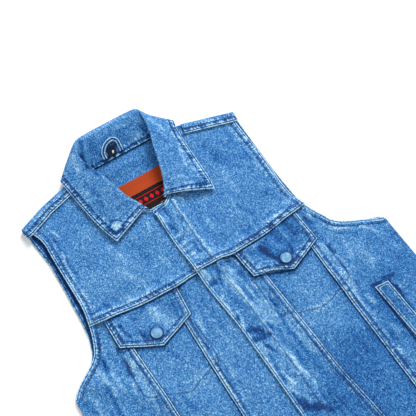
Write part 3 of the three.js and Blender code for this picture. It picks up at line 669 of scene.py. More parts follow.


# Creases of each piece, sharper than the broad folds: ridges where the height is above nothing
# and troughs where it is below, which are also painted dark as painted shade. Columns: x0, y0, x1, y1,
# half width, height.
CREASES = {
    "flap_right": [
        [-101, 56, -94, 26, 12, 0.7], [-158, 67, -161, 45, 3.2, 0.9], [-152, 56, -148, 31, 4, -0.9],
        [-136, 66, -118, 75, 3.5, 0.7], [-129, 32, -129, 16, 4, -0.8], [-61, 52, -62, 24, 3.2, 0.9],
        [-69, 51, -73, 20, 3.5, -0.7], [-116, 59, -104, 62, 3, -0.5], [-87, 62, -72, 60, 4, 0.7],
        [-141, 70, -136, 55, 3, 0.8], [-134, 58, -126, 54, 3, -0.5],
    ],
    "side_right": [
        [-167, 9, -167, -30, 6, 0.4], [-174, 6, -173, -16, 4.5, -1.1], [-199, 29, -201, 13, 5, -1.1],
        [-188, 58, -196, 38, 3, -0.6], [-181, -28, -184, -58, 4, 0.6], [-212, 9, -210, -27, 7, 0.7],
        [-215, -13, -216, -53, 7, -0.8], [-239, -15, -238, -46, 6, 0.5],
        [-172, 27, -178, 5, 3.5, -0.7], [-196, 3, -196, -29, 6, 0.5], [-252, -17, -244, -36, 6, -0.6],
    ],
    "pocket_right": [
        [-148, -10, -146, -54, 5, 0.5], [-161, -9, -164, -57, 4, -0.4], [-75, -27, -71, -67, 4, 0.5],
        [-63, -29, -63, -55, 4, -0.5], [-113, -12, -102, -37, 7, -0.4],
        [-132, -74, -127, -108, 7, -0.4],
    ],
    "centre_right": [
        [-62, -17, -60, -50, 5, 0.6], [-64, -35, -62, -48, 4, -0.8], [-71, -82, -70, -127, 5, 0.6],
        [-69, -100, -66, -126, 4, -0.5], [-45, 37, -52, -15, 7, 0.4], [-27, 25, -28, -21, 9, -0.3],
        [-34, -4, -34, -66, 7, 0.3],
    ],
    "centre_left": [
        [20, 63, 39, 64, 3.2, 1.3], [39, 64, 47, 45, 3.2, 1.1], [10, 61, 13, 50, 6, -1.5],
        [-10, 40, 2, 38, 5, -1.3], [-7, 64, -5, 48, 5, 1.1], [21, 54, 31, 40, 4, 0.8],
        [19, 40, 25, 6, 4, 0.8], [9, 43, 10, 31, 4, -0.7], [-5, 14, -6, -6, 5, 1.3],
        [-8, -14, 4, -17, 4, 1.1], [-5, -23, -4, -32, 3.5, -1.0], [-1, -30, -2, -44, 5, 1.0],
        [1, -50, 14, -61, 7, -2.2], [0, -67, 21, -71, 6, -2.2], [-1, -76, 0, -92, 5, 1.4],
        [6, -83, 15, -98, 4, -0.8], [-3, -101, 0, -126, 5, 1.0], [5, -127, 7, -149, 5, 0.8],
        [-3, -147, 3, -164, 4, 1.0], [1, -114, 0, -135, 3, -0.7], [23, 30, 24, -46, 4.5, 1.0],
        [40, 34, 42, -20, 6, -0.7], [24, -46, 25, -140, 5, 0.7], [28, -112, 34, -172, 4, 0.8],
        [0, -176, 14, -195, 9, -1.7], [19, -192, 30, -211, 7, -1.4], [35, 11, 41, -22, 5, 0.8],
        [47, -23, 54, -52, 4.5, 0.4], [54, -23, 55, -40, 4, -1.0], [8, -164, 13, -181, 5, 0.7],
        [27, -57, 37, -73, 6, -1.1],
    ],
    "side_left": [
        [179, 74, 183, 57, 4, 1.1], [174, 57, 179, 44, 4, -0.8], [193, 21, 222, 6, 3.5, 0.8],
        [233, 1, 251, -18, 3.5, 0.8], [196, 11, 222, -4, 4, -0.5], [164, 12, 168, -53, 4, 0.3],
        [175, -3, 177, -13, 4.5, -1.2], [173, -32, 172, -50, 3.5, -0.7], [165, 1, 166, -27, 3, -0.6],
        [148, -58, 156, -67, 4.5, -1.1], [158, -72, 160, -96, 4.5, 0.8],
        [157, -86, 155, -115, 3.5, -0.6], [190, -89, 204, -91, 4.0, -2.4],
        [216, -94, 217, -150, 2.4, -2.4], [173, -96, 178, -108, 6, 0.8],
        [212, -85, 225, -90, 5, -1.1], [216, -101, 224, -110, 7, 0.7], [252, -24, 264, -57, 9, 0.4],
        [208, -23, 213, -57, 12, 0.4], [198, 3, 194, -33, 7, 0.4], [172, -141, 179, -164, 6, 0.6],
        [156, -176, 164, -194, 5, 0.5], [158, -197, 160, -216, 5, -0.6],
    ],
    "pocket_left": [
        [77, -76, 83, -98, 7, 0.3], [105, -71, 125, -73, 7, 0.2], [69, -118, 78, -149, 5, 0.4],
        [34, -128, 52, -146, 8, -0.5], [61, -163, 77, -187, 8, -0.3], [122, -127, 128, -171, 10, -0.3],
    ],
    "flap_left": [
        [86, 50, 103, 14, 7, -2.0], [128, 33, 121, 18, 4.5, -1.6], [60, 25, 76, 30, 3.2, 0.8],
        [76, 30, 98, 21, 3.2, 1.0], [78, 60, 106, 62, 6, 0.8], [106, 54, 114, 36, 8, 0.7],
        [165, 60, 166, 31, 3.2, 1.0], [152, 52, 153, 27, 4, -0.7], [140, 64, 146, 44, 6, -0.6],
        [128, 64, 131, 42, 5, 0.6],
    ],
    "yoke_right": [
        [-161, 255, -157, 233, 3.5, 0.8], [-162, 237, -164, 209, 3.5, -0.7],
        [-165, 206, -174, 150, 3.5, 0.6], [-159, 206, -167, 149, 4, -0.5],
        [-174, 95, -164, 96, 4, -1.1], [-153, 98, -149, 90, 4, -0.8], [-178, 90, -163, 90, 4, 0.8],
        [-136, 102, -135, 89, 3.5, -0.6], [-117, 91, -118, 76, 4, 0.6], [-90, 92, -91, 73, 4, 0.6],
        [-70, 90, -72, 76, 3.5, -0.5], [-101, 176, -94, 141, 10, 0.4], [-106, 133, -91, 100, 9, 0.4],
        [-68, 167, -62, 120, 9, -0.3], [-32, 180, -34, 161, 3, 0.6], [-45, 120, -37, 88, 6, 0.5],
    ],
    "placket": [
        # The first is painted shade: the dark hollow under the placket's top.
        [-12, 186.5, 4, 189.5, 2.6, -2.4], [-12, 181, -7, 160, 4.5, 1.8],
        [-6, 158, -3, 142, 4.5, -1.3], [-13, 133, 0, 133, 3, 1.3],
        [-12, 125, 0, 125, 2.8, -1.0], [-12, 117, 0, 117, 3, 1.3], [-11, 108, 2, 108, 3, 1.1],
        [-10, 101, 1, 102, 2.8, -1.0], [-10, 95, 2, 95, 3, 1.3], [-3, 87, 7, 89, 3, 1.0],
        [0, 179, 1, 154, 3, -0.8], [20, 188, 21, 161, 4, 1.3], [21, 161, 20, 131, 3.6, 1.3],
        [20, 131, 21, 105, 3.6, 1.3], [21, 105, 20, 84, 3.6, 1.3], [13, 162, 10, 136, 3.2, -0.8],
        [28, 192, 34, 184, 4, 1.4], [15, 149, 15, 131, 3, 0.6], [-15, 168, -16, 145, 3, -0.6],
        [6, 112, 9, 97, 3, -0.8],
    ],
    "yoke_left": [
        [166, 259, 166, 222, 4, 0.6], [156, 261, 155, 218, 5, -0.4], [161, 206, 162, 188, 4, -0.8],
        [163, 178, 166, 164, 4, 0.6], [114, 86, 147, 84, 5, 0.7], [159, 96, 173, 95, 4, 0.6],
        [150, 91, 167, 84, 4.5, -0.6], [148, 129, 158, 102, 8, -0.3], [113, 245, 118, 225, 12, -0.4],
        [115, 220, 135, 188, 9, -0.35], [111, 191, 111, 153, 10, 0.3], [99, 128, 109, 105, 8, -0.3],
        [47, 137, 49, 107, 7, 0.5], [50, 115, 54, 88, 6, -0.4], [95, 151, 95, 118, 8, 0.25],
        [129, 92, 131, 74, 3.5, -0.5], [101, 94, 101, 78, 3.5, 0.6], [72, 93, 73, 76, 3.5, 0.6],
        [83, 91, 86, 76, 3.5, -0.5],
    ],
}
# Stretches that are rumpled lengthwise, beside seams and under the placket. The last column is
# the share of that.
WORN = np.array([
    [32, 48, 40, -120, 24, 1.0], [38, -120, 44, -230, 22, 0.7], [6, 20, 6, -340, 14, 0.7],
    [168, 60, 166, -110, 15, 0.8], [166, -110, 166, -340, 12, 0.5], [-168, 60, -168, -60, 22, 0.5],
    [-166, -60, -166, -340, 12, 0.5], [-64, 30, -62, -120, 12, 0.7], [4, 180, 6, 80, 14, 0.5],
    [52, -20, 62, -120, 14, 0.7], [-200, 20, -214, -60, 20, 0.7], [-52, 60, -40, 10, 14, 0.4],
    [176, 110, 178, 230, 12, 0.5], [-176, 110, -176, 230, 12, 0.6],
])
# How far noise strays creases and worn stretches from their straight lines.
CREASE_STRAY = 2.6
WORN_STRAY = 6.0
# Broad places where the wash left the cloth darker or lighter. The last column is the tone.
FADES = np.array([
    [98, 56, 120, 36, 54, -0.50], [60, 20, 90, 30, 20, -0.10], [120, 60, 150, 62, 18, -0.25],
    [-150, 30, -120, 20, 22, -0.15], [-70, 40, -64, 60, 20, -0.15],
    [150, -150, 260, -60, 75, -0.26], [90, -170, 150, -330, 80, -0.34],
    [110, -40, 112, -20, 40, 0.10], [-140, -60, -100, -60, 50, 0.10],
    [-150, 150, -90, 110, 60, 0.08], [60, 130, 130, 150, 60, -0.08],
    [60, 250, 150, 230, 50, -0.08], [30, -200, 60, -260, 50, -0.25],
    [-200, -60, -200, -140, 50, -0.06],
])


def ring_line(x, y, radius):
    """A circle as a closed line of points."""
    turn = np.linspace(0, 2 * np.pi, 33)
    return np.stack([x + radius * np.cos(turn), y + radius * np.sin(turn)], 1)


def keep_nearer(marks, key, xy, line):
    """Where a line is nearer than the marks say, they take its distance and the place along it."""
    away, along = nearest(xy, line)
    nearer = away < marks[key]
    marks[key] = np.where(nearer, away, marks[key])
    marks[key + "_along"] = np.where(nearer, along, marks[key + "_along"])
    return nearer


def make_surface(floor, folded, rows, shade_lines, seed, creases, lift):
    """The cloth's under and upper heights and its marks at any points. It lies on its floor
    with the listed creases. Behind each folded edge it is two layers thick and roped with
    short puckers square to the edge, and each row of stitches draws it in."""

    def surface(xy):
        """The under height, the upper height and the marks at points on the flat."""
        x, y = xy[..., 0], xy[..., 1]
        marks = fade_marks(x.shape)
        roping = np.full(x.shape, 0.5)
        for line, share in folded:
            roping = np.where(keep_nearer(marks, "edge", xy, line), share, roping)
        for line in rows:
            keep_nearer(marks, "line", xy, line)
        # Lines of painted shade: the edges of pieces that lie over this one, and the ring round a
        # snap.
        for line in shade_lines:
            marks["cover"] = np.minimum(marks["cover"], nearest(xy, line)[0])
        edge, row = marks["edge"], marks["line"]
        # Rope behind a folded edge, a pull beside a row in single cloth, and a dip in it.
        double = 1 - ease(8.5, 10.5, edge)
        uneven = 1 + 0.8 * mottle(marks["edge_along"] / 38, marks["line_along"] / 53, seed + 5)
        marks["roping"] = np.clip(roping * uneven, 0, 1.3)
        rope = mottle(marks["edge_along"] / 3.4 + edge / 9, edge / 6, seed)
        rope = 0.34 * rope * double * ease(0, 2, edge) * marks["roping"]
        near_row = 1 - ease(1, 7, row)
        pull = mottle(marks["line_along"] / 4, row / 5, seed + 1) * near_row * (1 - double)
        pull = 0.3 * pull * marks["roping"]
        dip = 0.26 * (1 - ease(0.3, 1.4, row))
        # Low waves and the creases lift the whole cloth off its floor.
        wave = 0.32 * mottle(x / 17 + y / 40, y / 26, seed + 2)
        wave = wave + 0.16 * mottle(x / 7, y / 12, seed + 3)
        crease = ridges(x, y, creases, CREASE_STRAY)
        under = np.maximum(air(x, y), floor(xy)) + np.maximum(wave, -0.25) + 0.25
        under = under + np.maximum(crease, -0.5)
        if lift:
            under = under + lift(x, y)
        # Long streaks in the worn stretches, and the turn of the folded edge.
        bend = mottle(x / 26, y / 34, seed + 8)
        streak = np.tanh(2.4 * mottle(x / 5.2 + bend, y / 40 + bend / 4, seed + 7))
        streak = streak * ridges(x, y, WORN, WORN_STRAY)
        roll = 0.35 * (1 - ease(0, 1.1, edge))
        top = under + CLOTH + 0.55 * double + rope + pull - dip - roll + 0.25 * streak
        # The wash lightens what stands out. Troughs are painted dark: painted shade, with the indigo
        # that the wash left in them.
        fade = ridges(x, y, FADES)
        wear_and_trough_shade = np.where(crease > 0, 0.75 * np.tanh(1.2 * crease), 1.2 * np.tanh(0.8 * crease))
        marks["ridge"] = wear_and_trough_shade + rope * 0.95 + pull * 0.6 + wave * 0.2 + streak * 0.45 + fade
        return under, top, marks

    return surface


def lay_panel(name, node, xy, seed, folded=(), rows=(), shade_lines=(), creases=(), lift=None):
    """Lays one cut panel on the bed, sews its rows, and enters it in the bed."""
    before = bed.copy()
    listed = [row for key in creases for row in CREASES[key]]
    surface = make_surface(lambda points: rest_on_bed(points, raster=before),
                           folded, rows, shade_lines, seed, listed, lift)
    under, top, marks = surface(xy)
    top, under = with_height(xy, top), with_height(xy, under)
    cut = xy + [37.0 * seed, 53.0 * seed]
    piece = close_shell(name, node, top, under, cut, marks, denim)
    enter_bed(top)
    if rows:
        sew(name + "_stitching", rows, surface)


def seam_x(column, y):
    """How far out a slanting seam lies at a height on the front."""
    return np.interp(y, V_SEAMS[:, 0], V_SEAMS[:, column])


def chest_y(x):
    """The chest seam's y, the same on both sides."""
    return np.interp(np.abs(x), CHEST_SEAM[:, 0], CHEST_SEAM[:, 1])


def front_edge(side, y):
    """Points of a front's outer edge."""
    return np.stack([np.interp(y, FRONT_EDGE[:, 0], FRONT_EDGE[:, 1 if side < 0 else 2]), y], 1)


def side_grid(side, inner, outer, cell=CELL):
    """The grid between an inner and an outer edge, each row from the wearer's right to left."""
    return ruled_grid(inner, outer, cell) if side > 0 else ruled_grid(outer, inner, cell)


def seam_line(side, column, low, high, out=0.0):
    """A stretch of a slanting seam, from low to high, moved out from the middle."""
    y = np.linspace(low, high, 60)
    return np.stack([side * (seam_x(column, y) + out), y], 1)


def hem_line(side, inner, outer):
    """A stretch of the hem between two distances from the middle."""
    x = np.linspace(inner, outer, 30) * side
    return np.stack([x, np.full(30, HEM_Y)], 1)


SIDE_WORD = {-1: "right", 1: "left"}
HEM_ROW = np.array([0, 9.0])
# A flap's curl at its tip, and its corners in the seam and below.
FLAPS = {
    -1: {"curl": 1.6, "top": [(-167, 83), (-50, 73)], "low": [(-169, 27), (-114, -3), (-56, 17)]},
    1: {"curl": 3.0, "top": [(48, 74), (164, 81)], "low": [(53, 17), (110, -5), (167, 18)]},
}
SNAP_AT = {-1: (-113, 18), 1: (109, 16)}
# The row that holds the pocket bag inside.
BAG_ROWS = {
    -1: [(-172, 10), (-176, -30), (-173, -56), (-142, -70), (-118, -81), (-98, -74), (-76, -67),
         (-60, -60), (-58, 5)],
    1: [(50, 8), (50, -46), (64, -57), (79, -65), (115, -75), (154, -63), (172, -53), (173, 5)],
}


def bag_rows(side, part):
    """The stretches of the pocket bag's row on one panel: 0 centre, 1 pocket panel, 2 side."""
    bag = fine(BAG_ROWS[side], 20)
    reach = np.abs(bag[:, 0])
    where = (reach > seam_x(INNER, bag[:, 1])).astype(int) + (reach > seam_x(OUTER, bag[:, 1]))
    ends = np.flatnonzero(np.diff(where)) + 1
    stretches = zip(np.split(bag, ends), np.split(where, ends))
    return [line for line, kind in stretches if kind[0] == part and len(line) > 3]


def flap_outline(side):
    """The sewn sides of a flap: down one side, along its two slanting edges and up again."""
    top, low = FLAPS[side]["top"], FLAPS[side]["low"]
    return np.array([top[0], *low, top[1]], float)


def lay_pocket_panel(side):
    """The panel between the slanting seams, which runs on under both by the lap."""
    word = SIDE_WORD[side]
    ys = np.array([HEM_Y, -300, -200, -120, -60, 0, 40, 78.0])
    inner = np.stack([side * (seam_x(INNER, ys) - LAP), ys], 1)
    outer = np.stack([side * (seam_x(OUTER, ys) + LAP), ys], 1)
    hem = hem_line(side, 88, 158)
    lay_panel("lower_panel_" + word, "pocket_panel_" + word, side_grid(side, inner, outer),
              seed=11 + side,
              folded=[(hem, 0.5)], rows=bag_rows(side, 1) + [hem + HEM_ROW],
              shade_lines=[seam_line(side, INNER, HEM_Y, 70), seam_line(side, OUTER, HEM_Y, 70),
                       np.array(FLAPS[side]["low"])],
              creases=["pocket_" + word])


# A welt's inner edge at its upper end, and its width.
WELT_X = 192
WELT_WIDTH = 21


def lay_side_front(side):
    """The panel from the outer slanting seam to the side and armhole."""
    word = SIDE_WORD[side]
    # Columns: y on the outer edge, y on the seam.
    pairs = np.array([
        [HEM_Y, HEM_Y], [-300, -300], [-230, -230], [-160, -160], [-95, -95], [-29, -36],
        [-3, -6], [7, 4], [20, 16], [33, 30], [45, 42], [67, 60], [87, 82.0],
    ])
    outer = front_edge(side, pairs[:, 0])
    seam = np.stack([side * seam_x(OUTER, pairs[:, 1]), pairs[:, 1]], 1)
    armhole = fine(outer[6:])
    v_edge = seam_line(side, OUTER, HEM_Y, 80)
    rows = [seam_line(side, OUTER, HEM_Y, 78, 2.2), seam_line(side, OUTER, HEM_Y, 78, 8.4),
            inset(armhole, 9.0 * side)]
    near, far = WELT_X * side, (WELT_X + WELT_WIDTH) * side
    welt = np.array([[near, -242], [near, -92], [far, -95], [far, -245], [near, -242]])
    lay_panel("side_front_cloth_" + word, "side_front_" + word, side_grid(side, seam, outer),
              seed=21 + side,
              folded=[(v_edge, 0.4), (armhole, 0.5), (hem_line(side, 148, 274), 0.5)],
              rows=rows + bag_rows(side, 2) + [hem_line(side, 150, 272) + HEM_ROW],
              shade_lines=[flap_outline(side), welt], creases=["side_" + word])


def opening_x(y):
    """The folded edge of the left front: it leans a little toward the right hem."""
    return -14 + 6 * ease(-60, 60, -np.asarray(y, float))


def lay_centre_front(side):
    """The panel beside the opening. The left one's edge is folded, and the right one lies
    under it."""
    word = SIDE_WORD[side]
    ys = np.array([HEM_Y, -300, -230, -160, -95, -40, 5, 36, 60.0])
    seam = np.stack([side * seam_x(INNER, ys), ys], 1)
    free = np.stack([opening_x(ys) if side > 0 else np.full(len(ys), 22.0), ys], 1)
    head = seam_x(INNER, 76)
    seam = np.vstack([seam, [side * head, chest_y(head) + LAP]])
    free = np.vstack([free, [free[-1, 0], chest_y(free[-1, 0]) + LAP]])
    folded = [(seam_line(side, INNER, HEM_Y, 78), 0.4), (hem_line(side, -20, 98), 0.5)]
    rows = [seam_line(side, INNER, HEM_Y, 76, -2.2), seam_line(side, INNER, HEM_Y, 76, -8.4)]
    if side > 0:
        folded.append((fine(free), 0.25))
        rows.append(placket_row(HEM_Y + 3, 66))
    rows += bag_rows(side, 0) + [hem_line(side, -8 if side > 0 else -20, 96) + HEM_ROW]
    lay_panel("centre_front_cloth_" + word, "centre_front_" + word, side_grid(side, free, seam),
              seed=31 + side,
              folded=folded, rows=rows, shade_lines=[flap_outline(side), CHEST_SEAM[:4] * [side, 1]],
              creases=["centre_" + word], lift=snap_bumps if side > 0 else None)


def placket_row(low, high):
    """The row that holds the fly facing, about 32 mm in from the fold."""
    y = np.linspace(low, high, 80)
    x = np.interp(y, [HEM_Y, -215, -184, -138, -98, -58, -9, 50, 92, 135, 188],
                  [24, 23, 23, 24, 24, 22, 22, 17, 16, 17, 18])
    return np.stack([x, y], 1)


HIDDEN_SNAPS = np.array([[6, 140], [8, 49], [1, -64], [1, -182], [1, -300.0]])


def snap_bumps(x, y):
    """Low round bumps over the hidden snaps of the fly, each in a shallow dip."""
    total = np.zeros_like(x)
    for cx, cy in HIDDEN_SNAPS:
        away = np.hypot(x - cx, y - cy)
        total = total + 0.9 * (1 - ease(3, 9, away)) - 0.5 * ease(6, 11, away) * (
            1 - ease(11, 20, away))
    return total


def lay_welt(side):
    """A slim folded strip with one row all round, its inner edge leaning a little."""
    word = SIDE_WORD[side]
    y = np.array([-242, -205, -165, -125, -92.0])
    x = (WELT_X if side > 0 else -WELT_X - WELT_WIDTH) - side * (np.arange(5) - 4) * 1.5
    a, b = np.stack([x, y], 1), np.stack([x + WELT_WIDTH, y - side * 3], 1)
    loop = np.vstack([a[0], b[0], b[-1], a[-1], a[0]])
    row = np.vstack([a[0] + [2.4, 2.2], a[-1] + [2.4, -2.2], b[-1] + [-2.4, -2.2],
                     b[0] + [-2.4, 2.2], a[0] + [2.4, 2.2]])
    lay_panel("hand_pocket_welt_" + word, "welt_" + word, ruled_grid(a, b, 2.0),
              seed=41 + side,
              folded=[(loop, 0.15)], rows=[row])


def lay_flap(side):
    """A five-sided flap that curls up a little at its tip. The left one's edge has sagged in."""
    word = SIDE_WORD[side]
    curl, top = FLAPS[side]["curl"], FLAPS[side]["top"]
    low = np.asarray(FLAPS[side]["low"], float)
    width = spaced(116, 2.0)[None, :, None]
    up = spaced(72, 2.0)[:, None, None]
    half = width >= 0.5
    t = np.where(half, 2 * width - 1, 2 * width)
    bottom = np.where(half, low[1] * (1 - t) + low[2] * t, low[0] * (1 - t) + low[1] * t)
    head = np.asarray(top[0]) * (1 - width) + np.asarray(top[1]) * width
    xy = bottom * (1 - up) + head * up
    outline = flap_outline(side)
    rows = [inset(outline, 2.2), inset(outline, 9.0)]
    if side > 0:
        sag = np.exp(-(((width[..., 0] - 0.26) / 0.13) ** 2)) * (1 - up[..., 0]) ** 2
        xy = xy + sag[..., None] * [-1.0, 5.5]
        outline = np.vstack([top[0], xy[0], top[1]])

    def rise(x, y):
        """The curl in full about the tip, and half of it about the first corner."""
        by_tip = 1 - ease(8, 46, np.hypot(x - low[1, 0], y - low[1, 1] - 6))
        by_corner = 1 - ease(4, 26, np.hypot(x - low[0, 0], y - low[0, 1]))
        return curl * by_tip + 0.5 * curl * by_corner

    lay_panel("breast_flap_" + word, "flap_" + word, xy,
              seed=51 + side,
              folded=[(outline, 0.7)], rows=rows,
              # Painted shade under the chest seam's edge and in a ring round the snap.
              shade_lines=[CHEST_SEAM * [side, 1], ring_line(*SNAP_AT[side], 9.2)],
              creases=["flap_" + word], lift=rise)


# Columns: y on the armhole, then x and y on the opening or neckline.
YOKE_INNER = {
    -1: np.array([
        [79, 22, 67], [92, 22, 79], [106, 22, 93], [128, 22, 118], [158, 22, 150], [184, 22, 178],
        [200, -2, 192], [215, -22, 199], [228, -40, 221], [240, -57, 245], [250, -74, 266],
        [257, -90, 282], [264, -100, 291.0],
    ]),
    1: np.array([
        [77, -14, 67], [90, -14, 79], [104, -14, 93], [128, -15, 118], [158, -15, 150],
        [182, -14, 176], [200, -14, 189], [214, 8, 192], [228, 30, 213], [240, 50, 240],
        [252, 68, 264], [260, 84, 281], [266, 95, 290.0],
    ]),
}


def lay_yoke(side):
    """The panel above the chest seam. Its lowest rows bow to the seam's line, less and less
    up to 75 mm over it."""
    word = SIDE_WORD[side]
    inner = YOKE_INNER[side][:, 1:]
    xy = side_grid(side, inner, front_edge(side, YOKE_INNER[side][:, 0]))
    start, stop = xy[0, 0, 0], xy[0, -1, 0]
    t = (xy[..., 0] - start) / (stop - start)
    bow = chest_y(xy[..., 0]) - (chest_y(start) * (1 - t) + chest_y(stop) * t)
    xy = with_height(xy[..., :1], xy[..., 1] + bow * (1 - ease(0, 75, xy[..., 1] - 67)))
    bottom = xy[0]
    front, armhole = (xy[:, 0], xy[:, -1]) if side > 0 else (xy[:, -1], xy[:, 0])
    rows = [bottom + [0, 2.4], bottom + [0, 9.2], inset(armhole, 9.0 * side)]
    if side > 0:
        rows.append(placket_row(70, 186))
    lay_panel("yoke_cloth_" + word, "front_yoke_" + word, xy,
              seed=61 + side,
              folded=[(bottom, 1.0), (armhole, 0.55), (front, 0.25)], rows=rows,
              creases=["yoke_right"] if side < 0 else ["yoke_left", "placket"],
              lift=snap_bumps if side > 0 else None)


def lay_front(side):
    """One front's panels in the order in which they lie on each other."""
    for lay in (lay_pocket_panel, lay_centre_front, lay_side_front, lay_welt, lay_flap, lay_yoke):
        lay(side)


lay_front(-1)


# The fly facing: a strip of the same denim inside the left opening, which carries the hidden
# snaps. Only its upper end shows, in the corner of the neckline.
def lay_fly_facing():
    """A long strip behind the opening's fold, with its top end turned under."""
    ys = np.array([HEM_Y + 3, -300, -200, -95, -40, 5, 62, 100, 150, 194.5])
    inner = np.stack([opening_x(ys) + 1.5, ys], 1)
    outer = np.stack([np.full(len(ys), 25.0), ys], 1)
    top_end = np.array([[-12.5, 194.5], [25, 194.5]])
    lay_panel("fly_facing_strip", "fly_facing", ruled_grid(inner, outer, 3.0), seed=71,
              folded=[(top_end, 0.3)])
    overlock = [[[x, 194.0], [x + 1.2, 197.4]] for x in np.arange(3.5, 19, 2.3)]
    sew("fly_facing_overlock", overlock, lambda xy: (None, rest_on_bed(xy, 1) + 2.0),
        plain_cloth("cream thread", (0.80, 0.77, 0.62)))


lay_fly_facing()


# The wearer's left front, laid over the right one at the opening: the same pieces mirrored,
# with the opening's edge folded back over the fly facing and sewn down.
lay_front(1)


# The flap snaps: pressed metal caps, 17 mm across, printed to match the denim, each in a
# slight dip of its flap. A lathed dome with a rolled rim.
def snap_material():
    """Pale blue paint, mottled darker."""
    material, tree, shader = new_material("washed cap")
    place = add_node(tree, "ShaderNodeTexCoord").outputs["Object"]
    blots = add_node(tree, "ShaderNodeTexNoise", {"Vector": place, "Scale": 130.0, "Detail": 4.0})
    shades = add_node(tree, "ShaderNodeValToRGB", {"Fac": blots.outputs["Fac"]})
    ramp = shades.color_ramp
    ramp.elements[0].position, ramp.elements[0].color = 0.38, (0.055, 0.20, 0.42, 1)
    ramp.elements[1].position, ramp.elements[1].color = 0.64, (0.22, 0.46, 0.67, 1)
    set_inputs(shader, {"Base Color": shades.outputs["Color"], "Metallic": 0.1, "Roughness": 0.6})
    return material


cap_paint = snap_material()
# Columns: radius and height of the cap's profile.
CAP_PROFILE = np.array([[0.01, 2.7], [3.0, 2.66], [5.4, 2.45], [6.6, 2.15], [7.1, 2.2],
                        [7.7, 2.35], [8.2, 2.0], [8.45, 1.3], [8.3, 0.5], [7.6, 0.0], [0.01, 0.0]])


def press_snap(side):
    """The profile, smoothed, turned about its axis on the flap's top."""
    x, y = SNAP_AT[side]
    profile = fine(CAP_PROFILE, 4)
    around = np.linspace(0, 2 * np.pi, 49)[:-1]
    level = float(rest_on_bed(np.array([[x, y]]), 1)[0]) - 0.15
    r, h = profile[:, :1], profile[:, 1:]
    points = np.stack([x + r * np.cos(around), y + r * np.sin(around),
                       level + h + 0 * around], -1).reshape(-1, 3)
    columns = len(around)
    last = len(points) - columns
    k = np.arange(last)
    beside = k - k % columns + (k + 1) % columns
    faces = np.stack([k, k + columns, beside + columns, beside], 1).tolist()
    faces.append(list(range(columns)))
    faces.append([last + j for j in reversed(range(columns))])
    word = SIDE_WORD[side]
    add_piece("snap_cap_" + word, "flap_snap_" + word, points, faces, cap_paint)


press_snap(-1)
press_snap(1)


# The shoulders: the back's cloth comes forward over each shoulder and is turned under and
# sewn down on the yoke with two rows. A section swept along the shoulder's fold.
# Columns: distance in from the fold and height of the outside, then of the inside.
WRAP_SECTION = np.array([
    [7.7, 0, 7.7, 1.1], [4.5, 0.2, 4.8, 1.25], [1.6, 1.0, 2.7, 1.9], [0, 4.3, 1.1, 4.3],
    [1.6, 7.6, 2.7, 6.7], [6.5, 8.7, 6.5, 7.6], [13, 9.4, 13, 8.3], [19.5, 9.9, 19.5, 8.8],
])
# From one x to another, how far in it ends, and how far its two rows are from that edge.
WRAP_SPAN = {-1: (-195.6, -104.4), 1: (104.4, 186.0)}
WRAP_DEPTH = 19.5
WRAP_ROWS = (2.4, 9.0)


def wrap_shoulder(side):
    """The section at each place along the fold, leaning square to it, rumpled, and with its
    upper part resting on the yoke."""
    word = SIDE_WORD[side]
    low, high = WRAP_SPAN[side]
    x = np.linspace(low, high, 60)
    fold = np.interp(x, TOP_EDGE[:, 0], TOP_EDGE[:, 1])
    lean = (np.interp(x + 4, TOP_EDGE[:, 0], TOP_EDGE[:, 1])
            - np.interp(x - 4, TOP_EDGE[:, 0], TOP_EDGE[:, 1])) / 8
    where = np.linspace(0, len(WRAP_SECTION) - 1, 43)[:, None]
    section = smooth_line(WRAP_SECTION, where[:, 0])[:, None]
    lean = ease(2, 4, where) * lean
    out, inn = (np.stack([x + section[..., k] * lean, fold - section[..., k],
                          section[..., k + 1] + 0 * x], -1) for k in (0, 2))
    resting = ease(3.6, 5.2, where)
    floor = rest_on_bed(inn[..., :2])
    inn[..., 2] = np.where(resting > 0, np.maximum(inn[..., 2], floor * resting), inn[..., 2])
    rumple = 0.3 * mottle(x[None, :] / 9 + where / 3, where / 2, 83)
    edge = np.abs(section[..., 0] - WRAP_DEPTH) * (where > 3) + FAR * (where <= 3) + 0 * x
    thick = CLOTH + 0.4 * (1 - ease(8, 10, edge)) + rumple
    out[..., 2] = np.where(where > 3.4, inn[..., 2] + thick, out[..., 2])
    marks = fade_marks(edge.shape)
    marks["edge"] = edge
    marks["line"] = np.min([np.abs(edge - away) for away in WRAP_ROWS], axis=0)
    marks["edge_along"] = marks["line_along"] = x + 0 * edge
    fold_wear = 1 - ease(0, 1.1, np.abs(where - 3.4))
    marks["ridge"] = rumple * 0.8 + 0.35 * fold_wear
    cut = np.stack([x + 0 * edge, where * 4 + 0 * x], -1) + [11, 400]
    piece = close_shell("shoulder_wrap_" + word, "back_shoulder_" + word,
                        inn, out, cut, marks, denim)
    enter_bed(out[where[:, 0] > 4])
    rows = [out[np.argmin(np.abs(edge[:, 0] - away)), 2:-2, :2] for away in WRAP_ROWS]
    sew("shoulder_wrap_" + word + "_stitching", rows,
        lambda xy: (None, rest_on_bed(xy, 1) - GAP - 0.1))


wrap_shoulder(-1)
wrap_shoulder(1)


